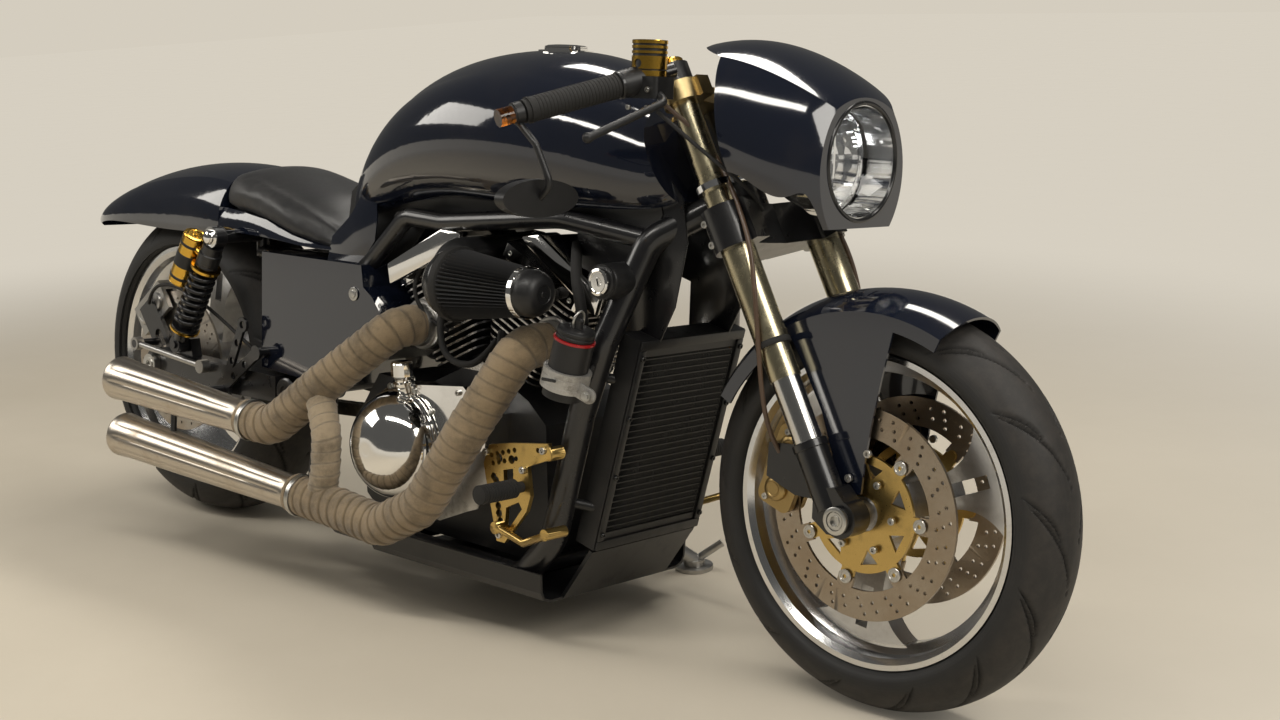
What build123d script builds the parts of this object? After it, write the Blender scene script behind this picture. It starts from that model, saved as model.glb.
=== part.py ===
from build123d import *
import os
from math import cos, radians, sin, sqrt, tan

# A big V-twin power cruiser with a short nose fairing, parked on its side stand.
# It is drawn upright, in millimetres: X forward from the rear axle, Y to the
# rider's left, Z up from the ground. At the end every piece leans over on the
# side stand, and the origin moves to the ground below the middle of the bike.

# Driving dimensions: stance and steering
lean = 6.2  # degrees to the left, on the side stand
wheelbase = 1640.0
rake = 28.5  # degrees of the steering axis from the vertical
fork_half_gap = 107.0  # from the middle of the bike to each fork leg
clamp_offset = 35.0  # fork legs ahead of the steering axis
axle_lead = 18.0  # axle ahead of the fork legs, along the ground

# Gaps between pieces
seat_gap = 0.3  # pieces that seat on each other
shaft_gap = 0.05  # radial clearance of a running shaft or bearing
swing_gap = 6.0  # pieces that move past each other

# Wheels: a 120 front and a 200 rear tyre on seventeen inch rims
flange_radius = 230.0
bead_radius = 219.0
front_tyre_radius = 300.0
front_tyre_half = 60.0
front_crown = 62.0
front_flange = 51.0
rear_tyre_radius = 316.0
rear_tyre_half = 100.0
rear_crown = 108.0
rear_flange = 87.0
tyre_wall = 9.0
axle_radius = 12.5
axle_bore = 7.0
hub_radius = 46.0
front_disc_y = 66.0
front_disc_radius = 155.0
rear_disc_y = 104.0
rear_disc_radius = 141.0
disc_half = 2.5
sprocket_y = 118.0

# Fork, from the axle height up along the legs
fork_radius = 25.5
slider_radius = 21.5
lower_clamp_from, lower_clamp_to = 412.0, 477.0
upper_clamp_from, upper_clamp_to = 645.0, 675.0
stem_radius = 14.0
bearing_radius = 22.0
head_tube_radius = 32.0

# Frame, engine and bodywork
tube_radius = 22.0
rail_radius = 14.0
cradle_half = 150.0
cradle_z = 95.0
spine_half = 30.0
crank_x, crank_z = 880.0, 300.0
vee_half_angle = 25.0
case_half = 104.0
pivot_x, pivot_z = 430.0, 318.0
swingarm_half = 148.0
arm_half_width = 16.0
shell_wall = 5.0
lamp_radius = 84.0
lamp_x, lamp_z = 1504.0, 794.0
stand_foot = (1045.0, 285.0)
stand_pivot = (990.0, 192.0, 112.0)

# Worked out from them
front_axle_z = front_tyre_radius - front_crown + front_crown / cos(radians(lean))
rear_axle_z = rear_tyre_radius - rear_crown + rear_crown / cos(radians(lean))
steer_sin, steer_cos = sin(radians(rake)), cos(radians(rake))
leg_x = wheelbase - axle_lead
sides = (-1, 1)  # the rider's right, then left


# Planes and shapes that several sub-parts share


def leg_plane(up, side, ahead=0.0):
    """Plane across a fork leg: local X ahead, local Y left, Z up the leg."""
    x = leg_x - up * steer_sin + ahead * steer_cos
    z = front_axle_z + up * steer_cos + ahead * steer_sin
    return Plane((x, side * fork_half_gap, z), (steer_cos, 0, steer_sin), (-steer_sin, 0, steer_cos))


def steer_plane(up):
    """Plane across the steering axis."""
    return leg_plane(up, 0, -clamp_offset)


def side_plane(y, x=0.0, z=0.0):
    """Upright plane seen from the rider's left: local X forward, local Y up."""
    return Plane((x, y, z), (1, 0, 0), (0, -1, 0))


def axle_section(x, z, angle=0.0):
    """Flat section through an axle: local X is the radius, local Y runs left."""
    ahead, up = cos(radians(angle)), sin(radians(angle))
    return Plane((x, 0, z), (ahead, 0, up), (-up, 0, ahead))


def polar_point(radius, angle):
    return (radius * cos(radians(angle)), radius * sin(radians(angle)))


def axle_line(x, z):
    return Axis((x, 0, z), (0, 1, 0))


def hull(rows, wall=0.0, floor_drop=0.0, mode=Mode.ADD):
    """Loft sections across the bike: flat floor, bowed flanks and a crown.

    The wall draws them in, and the floor may drop so that the hollow is open below.
    """
    sections = []
    for x, half_low, low, half_mid, mid, half_high, shoulder, crown in rows:
        foot = (half_low - wall, low - floor_drop)
        flank = (half_mid - wall, mid)
        top = (half_high - wall, shoulder - wall)
        with BuildSketch(Plane.YZ.offset(x)) as section:
            with BuildLine():
                Line((-foot[0], foot[1]), foot)
                ThreePointArc(foot, flank, top)
                ThreePointArc(top, (0, crown - wall), (-top[0], top[1]))
                ThreePointArc((-top[0], top[1]), (-flank[0], flank[1]), (-foot[0], foot[1]))
            make_face()
        sections.append(section.sketch)
    loft(sections, mode=mode)


def tube(points, radius, bends, mode=Mode.ADD):
    """Round tube along straight runs joined by tangent arcs."""
    with BuildLine() as route:
        FilletPolyline(*points, radius=bends)
    with BuildSketch(route.line ^ 0) as section:
        Circle(radius)
    sweep(section.sketch, path=route.line, mode=mode)


def rod(start, end, radius, end_radius=None, mode=Mode.ADD):
    """Round bar from one point to another, tapered if it has an end radius."""
    along = Vector(*end) - Vector(*start)
    with BuildSketch(Plane(start, z_dir=along)) as section:
        Circle(radius)
    if end_radius is None:
        extrude(section.sketch, amount=along.length, mode=mode)
    else:
        with BuildSketch(Plane(end, z_dir=along)) as end_section:
            Circle(end_radius)
        loft([section.sketch, end_section.sketch], mode=mode)


def tyre(x, z, radius, half, crown, flange):
    """Tyre section turned round its axle, hollow where the rim closes it."""
    shoulder = radius - crown + sqrt(crown**2 - half**2)
    lip = flange - 6.5 - seat_gap
    with BuildSketch(axle_section(x, z)) as section:
        with BuildLine():
            ThreePointArc((shoulder, -half), (radius, 0), (shoulder, half))
            Polyline((shoulder, half), (flange_radius + 3, flange + 2), (flange_radius + 1, lip),
                     (bead_radius + seat_gap, lip), (bead_radius + seat_gap, lip - 14),
                     (flange_radius + 10, flange - 9), (shoulder - 2, half - tyre_wall))
            ThreePointArc((shoulder - 2, half - tyre_wall), (radius - tyre_wall - 3, 0),
                          (shoulder - 2, tyre_wall - half))
            Polyline((shoulder - 2, tyre_wall - half), (flange_radius + 10, 9 - flange),
                     (bead_radius + seat_gap, 14 - lip), (bead_radius + seat_gap, -lip),
                     (flange_radius + 1, -lip), (flange_radius + 3, -flange - 2), (shoulder, -half))
        make_face()
    revolve(section.sketch, axis=axle_line(x, z))


def rim_barrel(x, z, flange):
    """Rim section turned round its axle: flanges, bead seats and drop centre."""
    half_section = ((flange_radius, flange), (flange_radius, flange - 5),
                    (bead_radius, flange - 6.5), (bead_radius, flange - 23),
                    (bead_radius - 14, flange - 35))
    inner = ((bead_radius - 20, flange - 38), (bead_radius - 7, flange - 26),
             (bead_radius - 5, flange - 8), (bead_radius + 3, flange))
    near = half_section + tuple((r, -y) for r, y in reversed(half_section))
    far = tuple((r, -y) for r, y in reversed(inner)) + inner
    with BuildSketch(axle_section(x, z)) as section:
        with BuildLine():
            Polyline(*near, *far, close=True)
        make_face()
    revolve(section.sketch, axis=axle_line(x, z))


def wheel_spokes(x, z, first_angle, half, slot_length):
    """Three wide spokes that flare into the rim, each with a long window."""
    with BuildSketch(mode=Mode.PRIVATE) as spoke:
        with BuildLine():
            Polyline((100, -26), (30, -26), (30, 26), (100, 26))
            ThreePointArc((100, 26), (160, 44), (186, 83))
            ThreePointArc((186, 83), (203.7, 0), (186, -83))
            ThreePointArc((186, -83), (160, -44), (100, -26))
        make_face()
    with BuildSketch(side_plane(0, x, z)) as spokes:
        with PolarLocations(0, 3, start_angle=first_angle):
            add(spoke.sketch)
        with PolarLocations(152, 3, start_angle=first_angle):
            Rectangle(slot_length, 20, mode=Mode.SUBTRACT)
    extrude(spokes.sketch, amount=half, both=True)


# Front wheel

front_spoke_angle = 22.0
front_spoke_half = 18.0
front_hub_half = front_disc_y - disc_half - seat_gap

with BuildPart() as front_tyre:
    tyre(wheelbase, front_axle_z, front_tyre_radius, front_tyre_half, front_crown, front_flange)

with BuildPart() as front_rim:
    rim_barrel(wheelbase, front_axle_z, front_flange)
    wheel_spokes(wheelbase, front_axle_z, front_spoke_angle, front_spoke_half, 64)
    with BuildSketch(side_plane(0, wheelbase, front_axle_z)):
        Circle(hub_radius)
    extrude(amount=front_hub_half, both=True)
    with BuildSketch(side_plane(0, wheelbase, front_axle_z)):
        Circle(axle_radius + shaft_gap)
    extrude(amount=front_hub_half, both=True, mode=Mode.SUBTRACT)

bobbin_circle = 98.0
bobbin_count = 7
bobbin_radius = 8.5

with BuildPart() as front_discs:
    for side in sides:
        with BuildSketch(side_plane(side * front_disc_y, wheelbase, front_axle_z)):
            Circle(front_disc_radius)
            Circle(112, mode=Mode.SUBTRACT)
            with PolarLocations(106, bobbin_count):
                Rectangle(22, 26)
            with PolarLocations(bobbin_circle, bobbin_count):
                Circle(bobbin_radius + seat_gap, mode=Mode.SUBTRACT)
            Circle(bobbin_circle - 1, mode=Mode.SUBTRACT)
        extrude(amount=disc_half, both=True)

with BuildPart() as front_disc_carriers:
    for side in sides:
        with BuildSketch(side_plane(side * front_disc_y, wheelbase, front_axle_z)):
            Circle(86)
            with PolarLocations(90, bobbin_count):
                Rectangle(12, 22)
            Circle(26, mode=Mode.SUBTRACT)
            with PolarLocations(66, bobbin_count, start_angle=180 / bobbin_count):
                Triangle(a=30, b=26, c=26, rotation=90, mode=Mode.SUBTRACT)
            with PolarLocations(bobbin_circle, bobbin_count):
                Circle(bobbin_radius)
        extrude(amount=disc_half, both=True)
        with BuildSketch(side_plane(side * front_disc_y, wheelbase, front_axle_z)):
            with PolarLocations(bobbin_circle, bobbin_count):
                Circle(bobbin_radius - 1)
        extrude(amount=disc_half + 2.5, both=True)

# Rear wheel

rear_spoke_angle = 82.0
rear_spoke_half = 26.0
rear_hub_half = rear_disc_y - disc_half - seat_gap
sprocket_hub_half = sprocket_y - disc_half - 1 - seat_gap

with BuildPart() as rear_tyre:
    tyre(0, rear_axle_z, rear_tyre_radius, rear_tyre_half, rear_crown, rear_flange)

with BuildPart() as rear_rim:
    rim_barrel(0, rear_axle_z, rear_flange)
    wheel_spokes(0, rear_axle_z, rear_spoke_angle, rear_spoke_half, 64)
    with BuildSketch(side_plane(0, 0, rear_axle_z)):
        Circle(hub_radius)
    extrude(amount=rear_hub_half)
    with BuildSketch(side_plane(0, 0, rear_axle_z)):
        Circle(hub_radius)
    extrude(amount=-sprocket_hub_half)
    with BuildSketch(side_plane(0, 0, rear_axle_z)):
        Circle(axle_radius + shaft_gap)
    extrude(amount=sprocket_hub_half, both=True, mode=Mode.SUBTRACT)

with BuildPart() as rear_disc:
    with BuildSketch(side_plane(-rear_disc_y, 0, rear_axle_z)):
        Circle(rear_disc_radius)
        Circle(30, mode=Mode.SUBTRACT)
        with PolarLocations(74, 5):
            Circle(20, mode=Mode.SUBTRACT)
    extrude(amount=disc_half, both=True)

sprocket_teeth = 38
sprocket_radius = 96.0

with BuildPart() as rear_sprocket:
    with BuildSketch(side_plane(sprocket_y, 0, rear_axle_z)):
        RegularPolygon(sprocket_radius, sprocket_teeth)
        Circle(30, mode=Mode.SUBTRACT)
        with PolarLocations(64, 5):
            Circle(16, mode=Mode.SUBTRACT)
    extrude(amount=disc_half + 1, both=True)

# Frame: head tube, spine, side spars, downtubes with the cradle, seat rails

head_from = lower_clamp_to + 1
head_to = upper_clamp_from - 1
head_foot = steer_plane(head_from + 34).origin
spine_front = Vector(1290, 0, 798)
spine_rear = Vector(640, 0, 698)
rail_z = 556.0
upright_half = 88.0
shock_top = (234.0, 588.0)
shock_foot = (110.0, 370.0)
shock_y = 180.0
shock_pin = 12.0
stand_lug_radius = 15.0
stand_pin = 8.0
stand_axis = Vector(-0.2825, 0.9554, 0.0849).normalized()


def stand_point(along):
    """A point along the side stand's pivot, from its middle."""
    return tuple(Vector(*stand_pivot) + stand_axis * along)


# x, distance from the middle, height and bend of each corner
upright_run = ((600, cradle_half - 10, cradle_z, 0), (455, 120, cradle_z + 8, 40), (pivot_x, upright_half, 205, 60),
               (pivot_x, upright_half, 470, 60), (507, 74, rail_z, 0))
spar_run = ((1246, 96, 660, 0), (1080, 120, 682, 120), (810, 124, 656, 90), (714, 124, 660, 40),
            (600, 116, 562, 60), (507, 74, rail_z, 0))
spar_radius = 16.0


def frame_run(run, side, radius, mode=Mode.ADD):
    """Tube through a run's corners, on one side of the bike."""
    with BuildPart() as piece:
        tube([(x, side * y, z) for x, y, z, bend in run], radius, [bend for *corner, bend in run[1:-1]])
    add(piece.part, mode=mode)


with BuildPart() as chassis_frame:
    with BuildSketch(steer_plane(head_from)):
        Circle(head_tube_radius)
    extrude(amount=head_to - head_from)
    for side in sides:
        tube(((head_foot.X, side * 12, head_foot.Z), (1246, side * 96, 660),
              (1204, side * cradle_half, 498), (1163, side * cradle_half, 385),
              (1110, side * cradle_half, 170), (1040, side * cradle_half, cradle_z),
              (560, side * (cradle_half - 10), cradle_z)), tube_radius, (60, 60, 90, 90, 60))
        frame_run(upright_run, side, spar_radius)
        frame_run(spar_run, side, spar_radius)
        rod((530, side * 74, rail_z), (shock_top[0], side * 74, rail_z), rail_radius)
        rod((shock_top[0], side * 74, rail_z - 8), (shock_top[0], side * 74, shock_top[1]), rail_radius - 2)
    with BuildSketch(Plane(spine_front, (0, 1, 0), spine_rear - spine_front)):
        Rectangle(2 * spine_half, 84)
    extrude(amount=(spine_rear - spine_front).length)
    rod((shock_top[0], -shock_y - 22, shock_top[1]), (shock_top[0], shock_y + 22, shock_top[1]), shock_pin)
    for x in (700, 1010):
        rod((x, -cradle_half, cradle_z), (x, cradle_half, cradle_z), 15)
    rod((pivot_x, -upright_half, pivot_z), (pivot_x, upright_half, pivot_z), 13)
    rod((690, -122, 652), (690, 122, 652), rail_radius)
    rod(stand_point(-38), stand_point(-10 - seat_gap), stand_lug_radius)
    rod(stand_point(-38), stand_point(14), stand_pin)
    with BuildSketch(steer_plane(head_from)):
        Circle(bearing_radius)
    extrude(amount=head_to - head_from, mode=Mode.SUBTRACT)

# Swingarm, rear axle and final drive

arm_inner = swingarm_half - arm_half_width
arm_outer = swingarm_half + arm_half_width
cross_x = 372.0

with BuildPart() as swingarm:
    with BuildSketch(Plane((cross_x, 0, pivot_z))):
        Rectangle(46, 2 * swingarm_half)
    extrude(amount=22, both=True)
    for side in sides:
        with BuildSketch(side_plane(side * swingarm_half)):
            Polygon((cross_x + 23, pivot_z - 24), (cross_x + 23, pivot_z + 24), (120, pivot_z + 27),
                    (0, rear_axle_z + 30), (0, rear_axle_z - 30), (120, pivot_z - 30), align=None)
            with Locations((0, rear_axle_z)):
                Circle(30)
                Circle(axle_radius + seat_gap, mode=Mode.SUBTRACT)
        extrude(amount=arm_half_width, both=True)
        with BuildSketch(side_plane(side * 55)):
            Polygon((cross_x, pivot_z - 20), (cross_x, pivot_z + 20), (pivot_x, pivot_z + 24),
                    (pivot_x, pivot_z - 24), align=None)
            with Locations((pivot_x, pivot_z)):
                Circle(24)
                Circle(13 + seat_gap, mode=Mode.SUBTRACT)
        extrude(amount=11, both=True)
        with BuildSketch(side_plane(side * 154)):
            Polygon((shock_foot[0] - 26, 330), (shock_foot[0] + 26, 330), (shock_foot[0] + 14, 380),
                    (shock_foot[0] - 14, 380), align=None)
        extrude(amount=11, both=True)
        rod((shock_foot[0], side * 150, shock_foot[1]), (shock_foot[0], side * (shock_y + 16), shock_foot[1]), 8)

with BuildPart() as rear_axle:
    rod((0, -arm_outer - 16, rear_axle_z), (0, arm_outer + 16, rear_axle_z), axle_radius)
    for side in sides:
        rod((0, side * (arm_outer + seat_gap), rear_axle_z), (0, side * (arm_outer + 14), rear_axle_z), 20)
    rod((0, -rear_hub_half - seat_gap, rear_axle_z), (0, -120.7, rear_axle_z), 20)
    rod((0, sprocket_hub_half + seat_gap, rear_axle_z), (0, arm_inner - seat_gap, rear_axle_z), 20)
    rod((0, -arm_outer - 20, rear_axle_z), (0, arm_outer + 20, rear_axle_z), axle_bore, mode=Mode.SUBTRACT)

front_sprocket = (610.0, 300.0)
front_sprocket_radius = 42.0
chain_gap = 5.0
chain_depth = 14.0


def strap(rear_radius, front_radius):
    """Both sprockets' circles and the runs between them, in the side plane."""
    length = front_sprocket[0]
    slope = (rear_radius - front_radius) / length
    across = sqrt(1 - slope**2)
    with Locations((0, rear_axle_z)):
        Circle(rear_radius)
    with Locations(front_sprocket):
        Circle(front_radius)
    Polygon((rear_radius * slope, rear_axle_z + rear_radius * across),
            (length + front_radius * slope, front_sprocket[1] + front_radius * across),
            (length + front_radius * slope, front_sprocket[1] - front_radius * across),
            (rear_radius * slope, rear_axle_z - rear_radius * across), align=None)


with BuildPart() as drive_chain:
    with BuildSketch(side_plane(sprocket_y)) as outside:
        strap(sprocket_radius + chain_gap + chain_depth, front_sprocket_radius + chain_gap + chain_depth)
    extrude(amount=8, both=True)
    with BuildSketch(side_plane(sprocket_y)) as inside:
        strap(sprocket_radius + chain_gap, front_sprocket_radius + chain_gap)
    extrude(amount=8, both=True, mode=Mode.SUBTRACT)

# Rear brake and shocks

caliper_radius = 126.0
rear_caliper_angle = 128.0

with BuildPart() as rear_caliper:
    with BuildSketch(side_plane(-rear_disc_y, 0, rear_axle_z)):
        with PolarLocations(caliper_radius, 1, start_angle=rear_caliper_angle):
            Rectangle(64, 110)
    extrude(amount=17, both=True)
    with BuildSketch(side_plane(-rear_disc_y, 0, rear_axle_z)):
        Circle(rear_disc_radius + swing_gap)
    extrude(amount=disc_half + swing_gap - 0.5, both=True, mode=Mode.SUBTRACT)

bracket_y = 125.5
rod_y = arm_outer + 10.0
link_rear, link_front = (-46.0, 352.0), (178.0, 334.0)

with BuildPart() as rear_caliper_bracket:
    with BuildSketch(side_plane(-bracket_y, 0, rear_axle_z)):
        Circle(30)
        with PolarLocations(70, 1, start_angle=rear_caliper_angle):
            Rectangle(140, 52)
        with PolarLocations(52, 1, start_angle=rear_caliper_angle):
            SlotOverall(48, 22, mode=Mode.SUBTRACT)
        Circle(axle_radius + seat_gap, mode=Mode.SUBTRACT)
    extrude(amount=4.2, both=True)
    rod((link_rear[0], -bracket_y, link_rear[1]), (link_rear[0], -rod_y - 8, link_rear[1]), 8)

with BuildPart() as torque_rod:
    rod((link_rear[0], -rod_y, link_rear[1]), (link_front[0], -rod_y, link_front[1]), 6)
    for (x, z), reach in ((link_rear, 8), (link_front, rod_y - arm_outer - seat_gap)):
        rod((x, -rod_y - 8, z), (x, -rod_y + reach, z), 13)
    rod((link_rear[0], -rod_y - 9, link_rear[1]), (link_rear[0], -rod_y + 9, link_rear[1]), 8 + seat_gap,
        mode=Mode.SUBTRACT)

shock_tilt = Vector(shock_top[0] - shock_foot[0], 0, shock_top[1] - shock_foot[1])
shock_length = shock_tilt.length
# radius, from and to, in millimetres up the shock from its lower eye
shock_stack = ((14, 12, 40), (27, 40, 44), (15, 44, 178), (21, 184, 232))
spring_coils = 9


def shock_point(up, behind=0.0):
    """X and Z of a point up the shock's axis, and square behind it."""
    ahead = shock_tilt.normalized()
    return (shock_foot[0] + ahead.X * up - ahead.Z * behind, shock_foot[1] + ahead.Z * up + ahead.X * behind)


def shock_rod(side, low, high, radius, behind=0.0, mode=Mode.ADD):
    x0, z0 = shock_point(low, behind)
    x1, z1 = shock_point(high, behind)
    rod((x0, side * shock_y, z0), (x1, side * shock_y, z1), radius, mode=mode)


with BuildPart() as shock_absorbers:
    for side in sides:
        for radius, low, high in shock_stack:
            shock_rod(side, low, high, radius)
        for coil in range(spring_coils):
            shock_rod(side, 48 + 14 * coil, 56 + 14 * coil, 26)
        for (x, z), radius, pin in ((shock_foot, 17, 8), (shock_top, 20, shock_pin)):
            rod((x, side * (shock_y - 12), z), (x, side * (shock_y + 12), z), radius)
            rod((x, side * (shock_y - 14), z), (x, side * (shock_y + 14), z), pin + seat_gap, mode=Mode.SUBTRACT)

reservoir_behind = 56.0

with BuildPart() as shock_fittings:
    for side in sides:
        for low, high, hole in ((178.3, 183.7, 15), (36, 39.7, 14 + seat_gap)):
            x0, z0 = shock_point(low)
            with BuildSketch(Plane((x0, side * shock_y, z0), (0, 1, 0), shock_tilt)):
                Circle(29)
                Circle(hole, mode=Mode.SUBTRACT)
            extrude(amount=high - low)
        shock_rod(side, 112, 216, 24, reservoir_behind)
        x0, z0 = shock_point(198, 23)
        x1, z1 = shock_point(198, reservoir_behind - 8)
        rod((x0, side * shock_y, z0), (x1, side * shock_y, z1), 10)

# Engine: closed case with two open, finned cylinders

vee_sin, vee_cos = sin(radians(vee_half_angle)), cos(radians(vee_half_angle))
deck = 118.0
fin_from, fin_to, fin_pitch, fin_thick = 140.0, 296.0, 12.0, 3.2
bore_radius = 54.0
cover_from, cover_to = fin_to + 4, 346.0


def vee_plane(up, way):
    """Plane across a cylinder: way is -1 for the rear one and 1 for the front."""
    origin = (crank_x + way * up * vee_sin, 0, crank_z + up * vee_cos)
    return Plane(origin, (vee_cos, 0, -way * vee_sin), (way * vee_sin, 0, vee_cos))


with BuildPart() as crankcase:
    with BuildSketch(side_plane(0)):
        Polygon((590, 150), (570, 300), (620, 372), (740, 366), (762, 375), (crank_x, 430), (998, 375),
                (1040, 340), (1050, 190), (1005, cradle_z + 15 + seat_gap), (640, cradle_z + 15 + seat_gap),
                align=None)
    extrude(amount=case_half, both=True)
    with BuildSketch(side_plane(sprocket_y, *front_sprocket)):
        Circle(front_sprocket_radius + chain_gap - seat_gap)
    extrude(amount=3, both=True)
    rod((front_sprocket[0], case_half, front_sprocket[1]), (front_sprocket[0], sprocket_y + 12, front_sprocket[1]), 14)

with BuildPart() as cylinders:
    fins = int((fin_to - fin_from) / fin_pitch) + 1
    for way in (-1, 1):
        with BuildSketch(vee_plane(deck + seat_gap, way)):
            Circle(bore_radius)
        extrude(amount=cover_from - deck - 2 * seat_gap)
        for index in range(fins):
            up = fin_from + index * fin_pitch
            reach = 72 + 24 * index / (fins - 1)
            inner = min(reach, up * vee_sin / vee_cos - 6)
            with BuildSketch(vee_plane(up, way)):
                with Locations(((inner - reach) * way / -2, 0)):
                    RectangleRounded(reach + inner, 196, 22)
            extrude(amount=fin_thick)
    add(crankcase.part, mode=Mode.SUBTRACT)

with BuildPart() as rocker_covers:
    for way in (-1, 1):
        with BuildSketch(vee_plane(cover_from, way)):
            RectangleRounded(190, 200, 8)
        extrude(amount=24)
        with BuildSketch(vee_plane(cover_from + 24, way)):
            RectangleRounded(190, 200, 8)
        with BuildSketch(vee_plane(cover_to, way)):
            RectangleRounded(140, 130, 8)
        loft()

clutch_center = (748.0, 270.0)
clutch_radius = 94.0
clutch_bulge = 80.0
side_cover_y = 160.0

with BuildPart() as clutch_cover:
    with BuildSketch(Plane((clutch_center[0], 0, clutch_center[1]), (0, 0, 1), (-1, 0, 0))) as section:
        with BuildLine():
            Polyline((8, -side_cover_y - clutch_bulge), (0, -side_cover_y - clutch_bulge),
                     (0, -side_cover_y - seat_gap),
                     (clutch_radius, -side_cover_y - seat_gap), (clutch_radius, -side_cover_y - 14))
            ThreePointArc((clutch_radius, -side_cover_y - 14), (66, -side_cover_y - 61), (8, -side_cover_y - clutch_bulge))
        make_face()
    revolve(section.sketch, axis=axle_line(*clutch_center))

with BuildPart() as side_cover:
    with BuildSketch(side_plane(-case_half - seat_gap)):
        Polygon((640, 215), (652, 330), (720, 372), (900, 392), (960, 350), (950, 230), (880, 190), (690, 172),
                align=None)
    extrude(amount=side_cover_y - case_half - seat_gap)
    rod((764, -150, 330), (764, -174, 393), 14)
    rod((764, -174, 393), (764, -176, 417), 18)
    add(clutch_cover.part, mode=Mode.SUBTRACT)

with BuildPart() as generator_cover:
    rod((crank_x, case_half + seat_gap, crank_z - 20), (crank_x, 158, crank_z - 20), 92)
    with BuildSketch(side_plane(case_half + seat_gap)):
        Polygon((690, 200), (690, 350), (840, 372), (840, 190), align=None)
    extrude(amount=-44)

with BuildPart() as intake:
    tube(((crank_x, 70, 612), (crank_x, -165, 612), (crank_x, -200, 568)), 26, (30,))
    rod((crank_x - 100, 0, 612), (crank_x + 100, 0, 612), 16)
    rod((crank_x, -200, 568), (921.7, -200, 568), 36, 44)
    add(cylinders.part, mode=Mode.SUBTRACT)
    add(rocker_covers.part, mode=Mode.SUBTRACT)

with BuildPart() as air_filter:
    rod((922, -200, 568), (932, -200, 568), 60)
    rod((932, -200, 568), (1086, -202, 570), 57, 38)
    rod((1086, -202, 570), (1132, -202, 572), 31, 28)

# Exhaust: two wrapped headers, a crossover and two tapered mufflers

header_radius = 34.0
muffler_radius = 30.0  # where a muffler meets its header
upper_joint = (447.0, -262.0, 282.0)
upper_outlet = (92.0, -300.0, 313.0)
lower_joint = (593.0, -262.0, 170.0)
lower_outlet = (105.0, -300.0, 206.0)
port_y = -98.0 - seat_gap


def before_joint(joint, outlet, back):
    """A point on a header, in line with the muffler that follows it."""
    along = (Vector(*outlet) - Vector(*joint)).normalized()
    return tuple(Vector(*joint) - along * back)


with BuildPart() as rear_header:
    tube(((737, port_y, 474), (737, -168, 474), (628, -228, 372), before_joint(upper_joint, upper_outlet, 64),
          upper_joint), header_radius, (44, 60, 60))

with BuildPart() as front_header:
    tube(((1052, port_y, 478), (1052, -178, 478), (988, -236, 335), (905, -250, 205), (806, -252, 152),
          before_joint(lower_joint, lower_outlet, 96), lower_joint), header_radius, (44, 60, 60, 60, 60))
    tube(((616, -234, 350), (662, -254, 285), (664, -258, 225), (650, -258, 162)), 24, (50, 50))
    add(rear_header.part, mode=Mode.SUBTRACT)

with BuildPart() as mufflers:
    for joint, outlet in ((upper_joint, upper_outlet), (lower_joint, lower_outlet)):
        along = (Vector(*outlet) - Vector(*joint)).normalized()
        rod(tuple(Vector(*joint) + along * seat_gap), outlet, muffler_radius, 41)
        rod(tuple(Vector(*outlet) - along * 70), tuple(Vector(*outlet) + along), 35, mode=Mode.SUBTRACT)

with BuildPart() as muffler_hanger:
    with BuildSketch(side_plane(-arm_outer - seat_gap - 8)):
        Polygon((300, 432), (322, 436), (262, 300), (236, 290), align=None)
        Polygon((350, 392), (356, 370), (262, 300), (236, 312), align=None)
        with Locations((311, 430), (352, 382)):
            Circle(14)
        with Locations((250, 300)):
            Circle(22)
        with Locations((311, 430), (295, 394), (279, 358), (318, 356), (284, 330)):
            Circle(7, mode=Mode.SUBTRACT)
    extrude(amount=6)
    rod((352, -150 - seat_gap, 382), (352, -arm_outer - 8, 382), 9)
    rod((250, -arm_outer - 10, 300), (250, -284, 300), 8)
    rod((250, -284, 299), (250, -288, 200), 6)
    add(mufflers.part, mode=Mode.SUBTRACT)

# Bodywork: tank, tail with seat, side covers, belly pan

# x, half width and height at the floor, the flank and the shoulder, crown height
tank_rows = ((505, 48, 620, 62, 630, 44, 638, 644),
             (560, 84, 646, 112, 684, 76, 722, 748),
             (640, 108, 666, 150, 735, 104, 812, 848),
             (750, 122, 690, 180, 775, 126, 872, 914),
             (900, 128, 700, 196, 800, 138, 905, 945),
             (1040, 126, 700, 188, 792, 130, 903, 942),
             (1190, 112, 704, 150, 780, 92, 862, 896),
             (1310, 84, 730, 112, 772, 60, 812, 836))
tank_rear_of_axis = 54.0

with BuildPart() as fuel_tank:
    hull(tank_rows)
    with BuildSketch(steer_plane(300)):
        with Locations((-tank_rear_of_axis + 200, 0)):
            Rectangle(400, 500)
    extrude(amount=600, mode=Mode.SUBTRACT)
    with BuildSketch(Plane(spine_front, (0, 1, 0), spine_rear - spine_front)):
        Rectangle(2 * spine_half + 2 * seat_gap, 84 + 2 * seat_gap)
    extrude(amount=(spine_rear - spine_front).length + 80, mode=Mode.SUBTRACT)
    rod((962, 0, 930), (962, 0, 980), 46 + seat_gap, mode=Mode.SUBTRACT)

with BuildPart() as fuel_cap:
    rod((962, 0, 930), (962, 0, 947), 46)
    rod((962, 0, 947), (962, 0, 951), 36)

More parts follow.
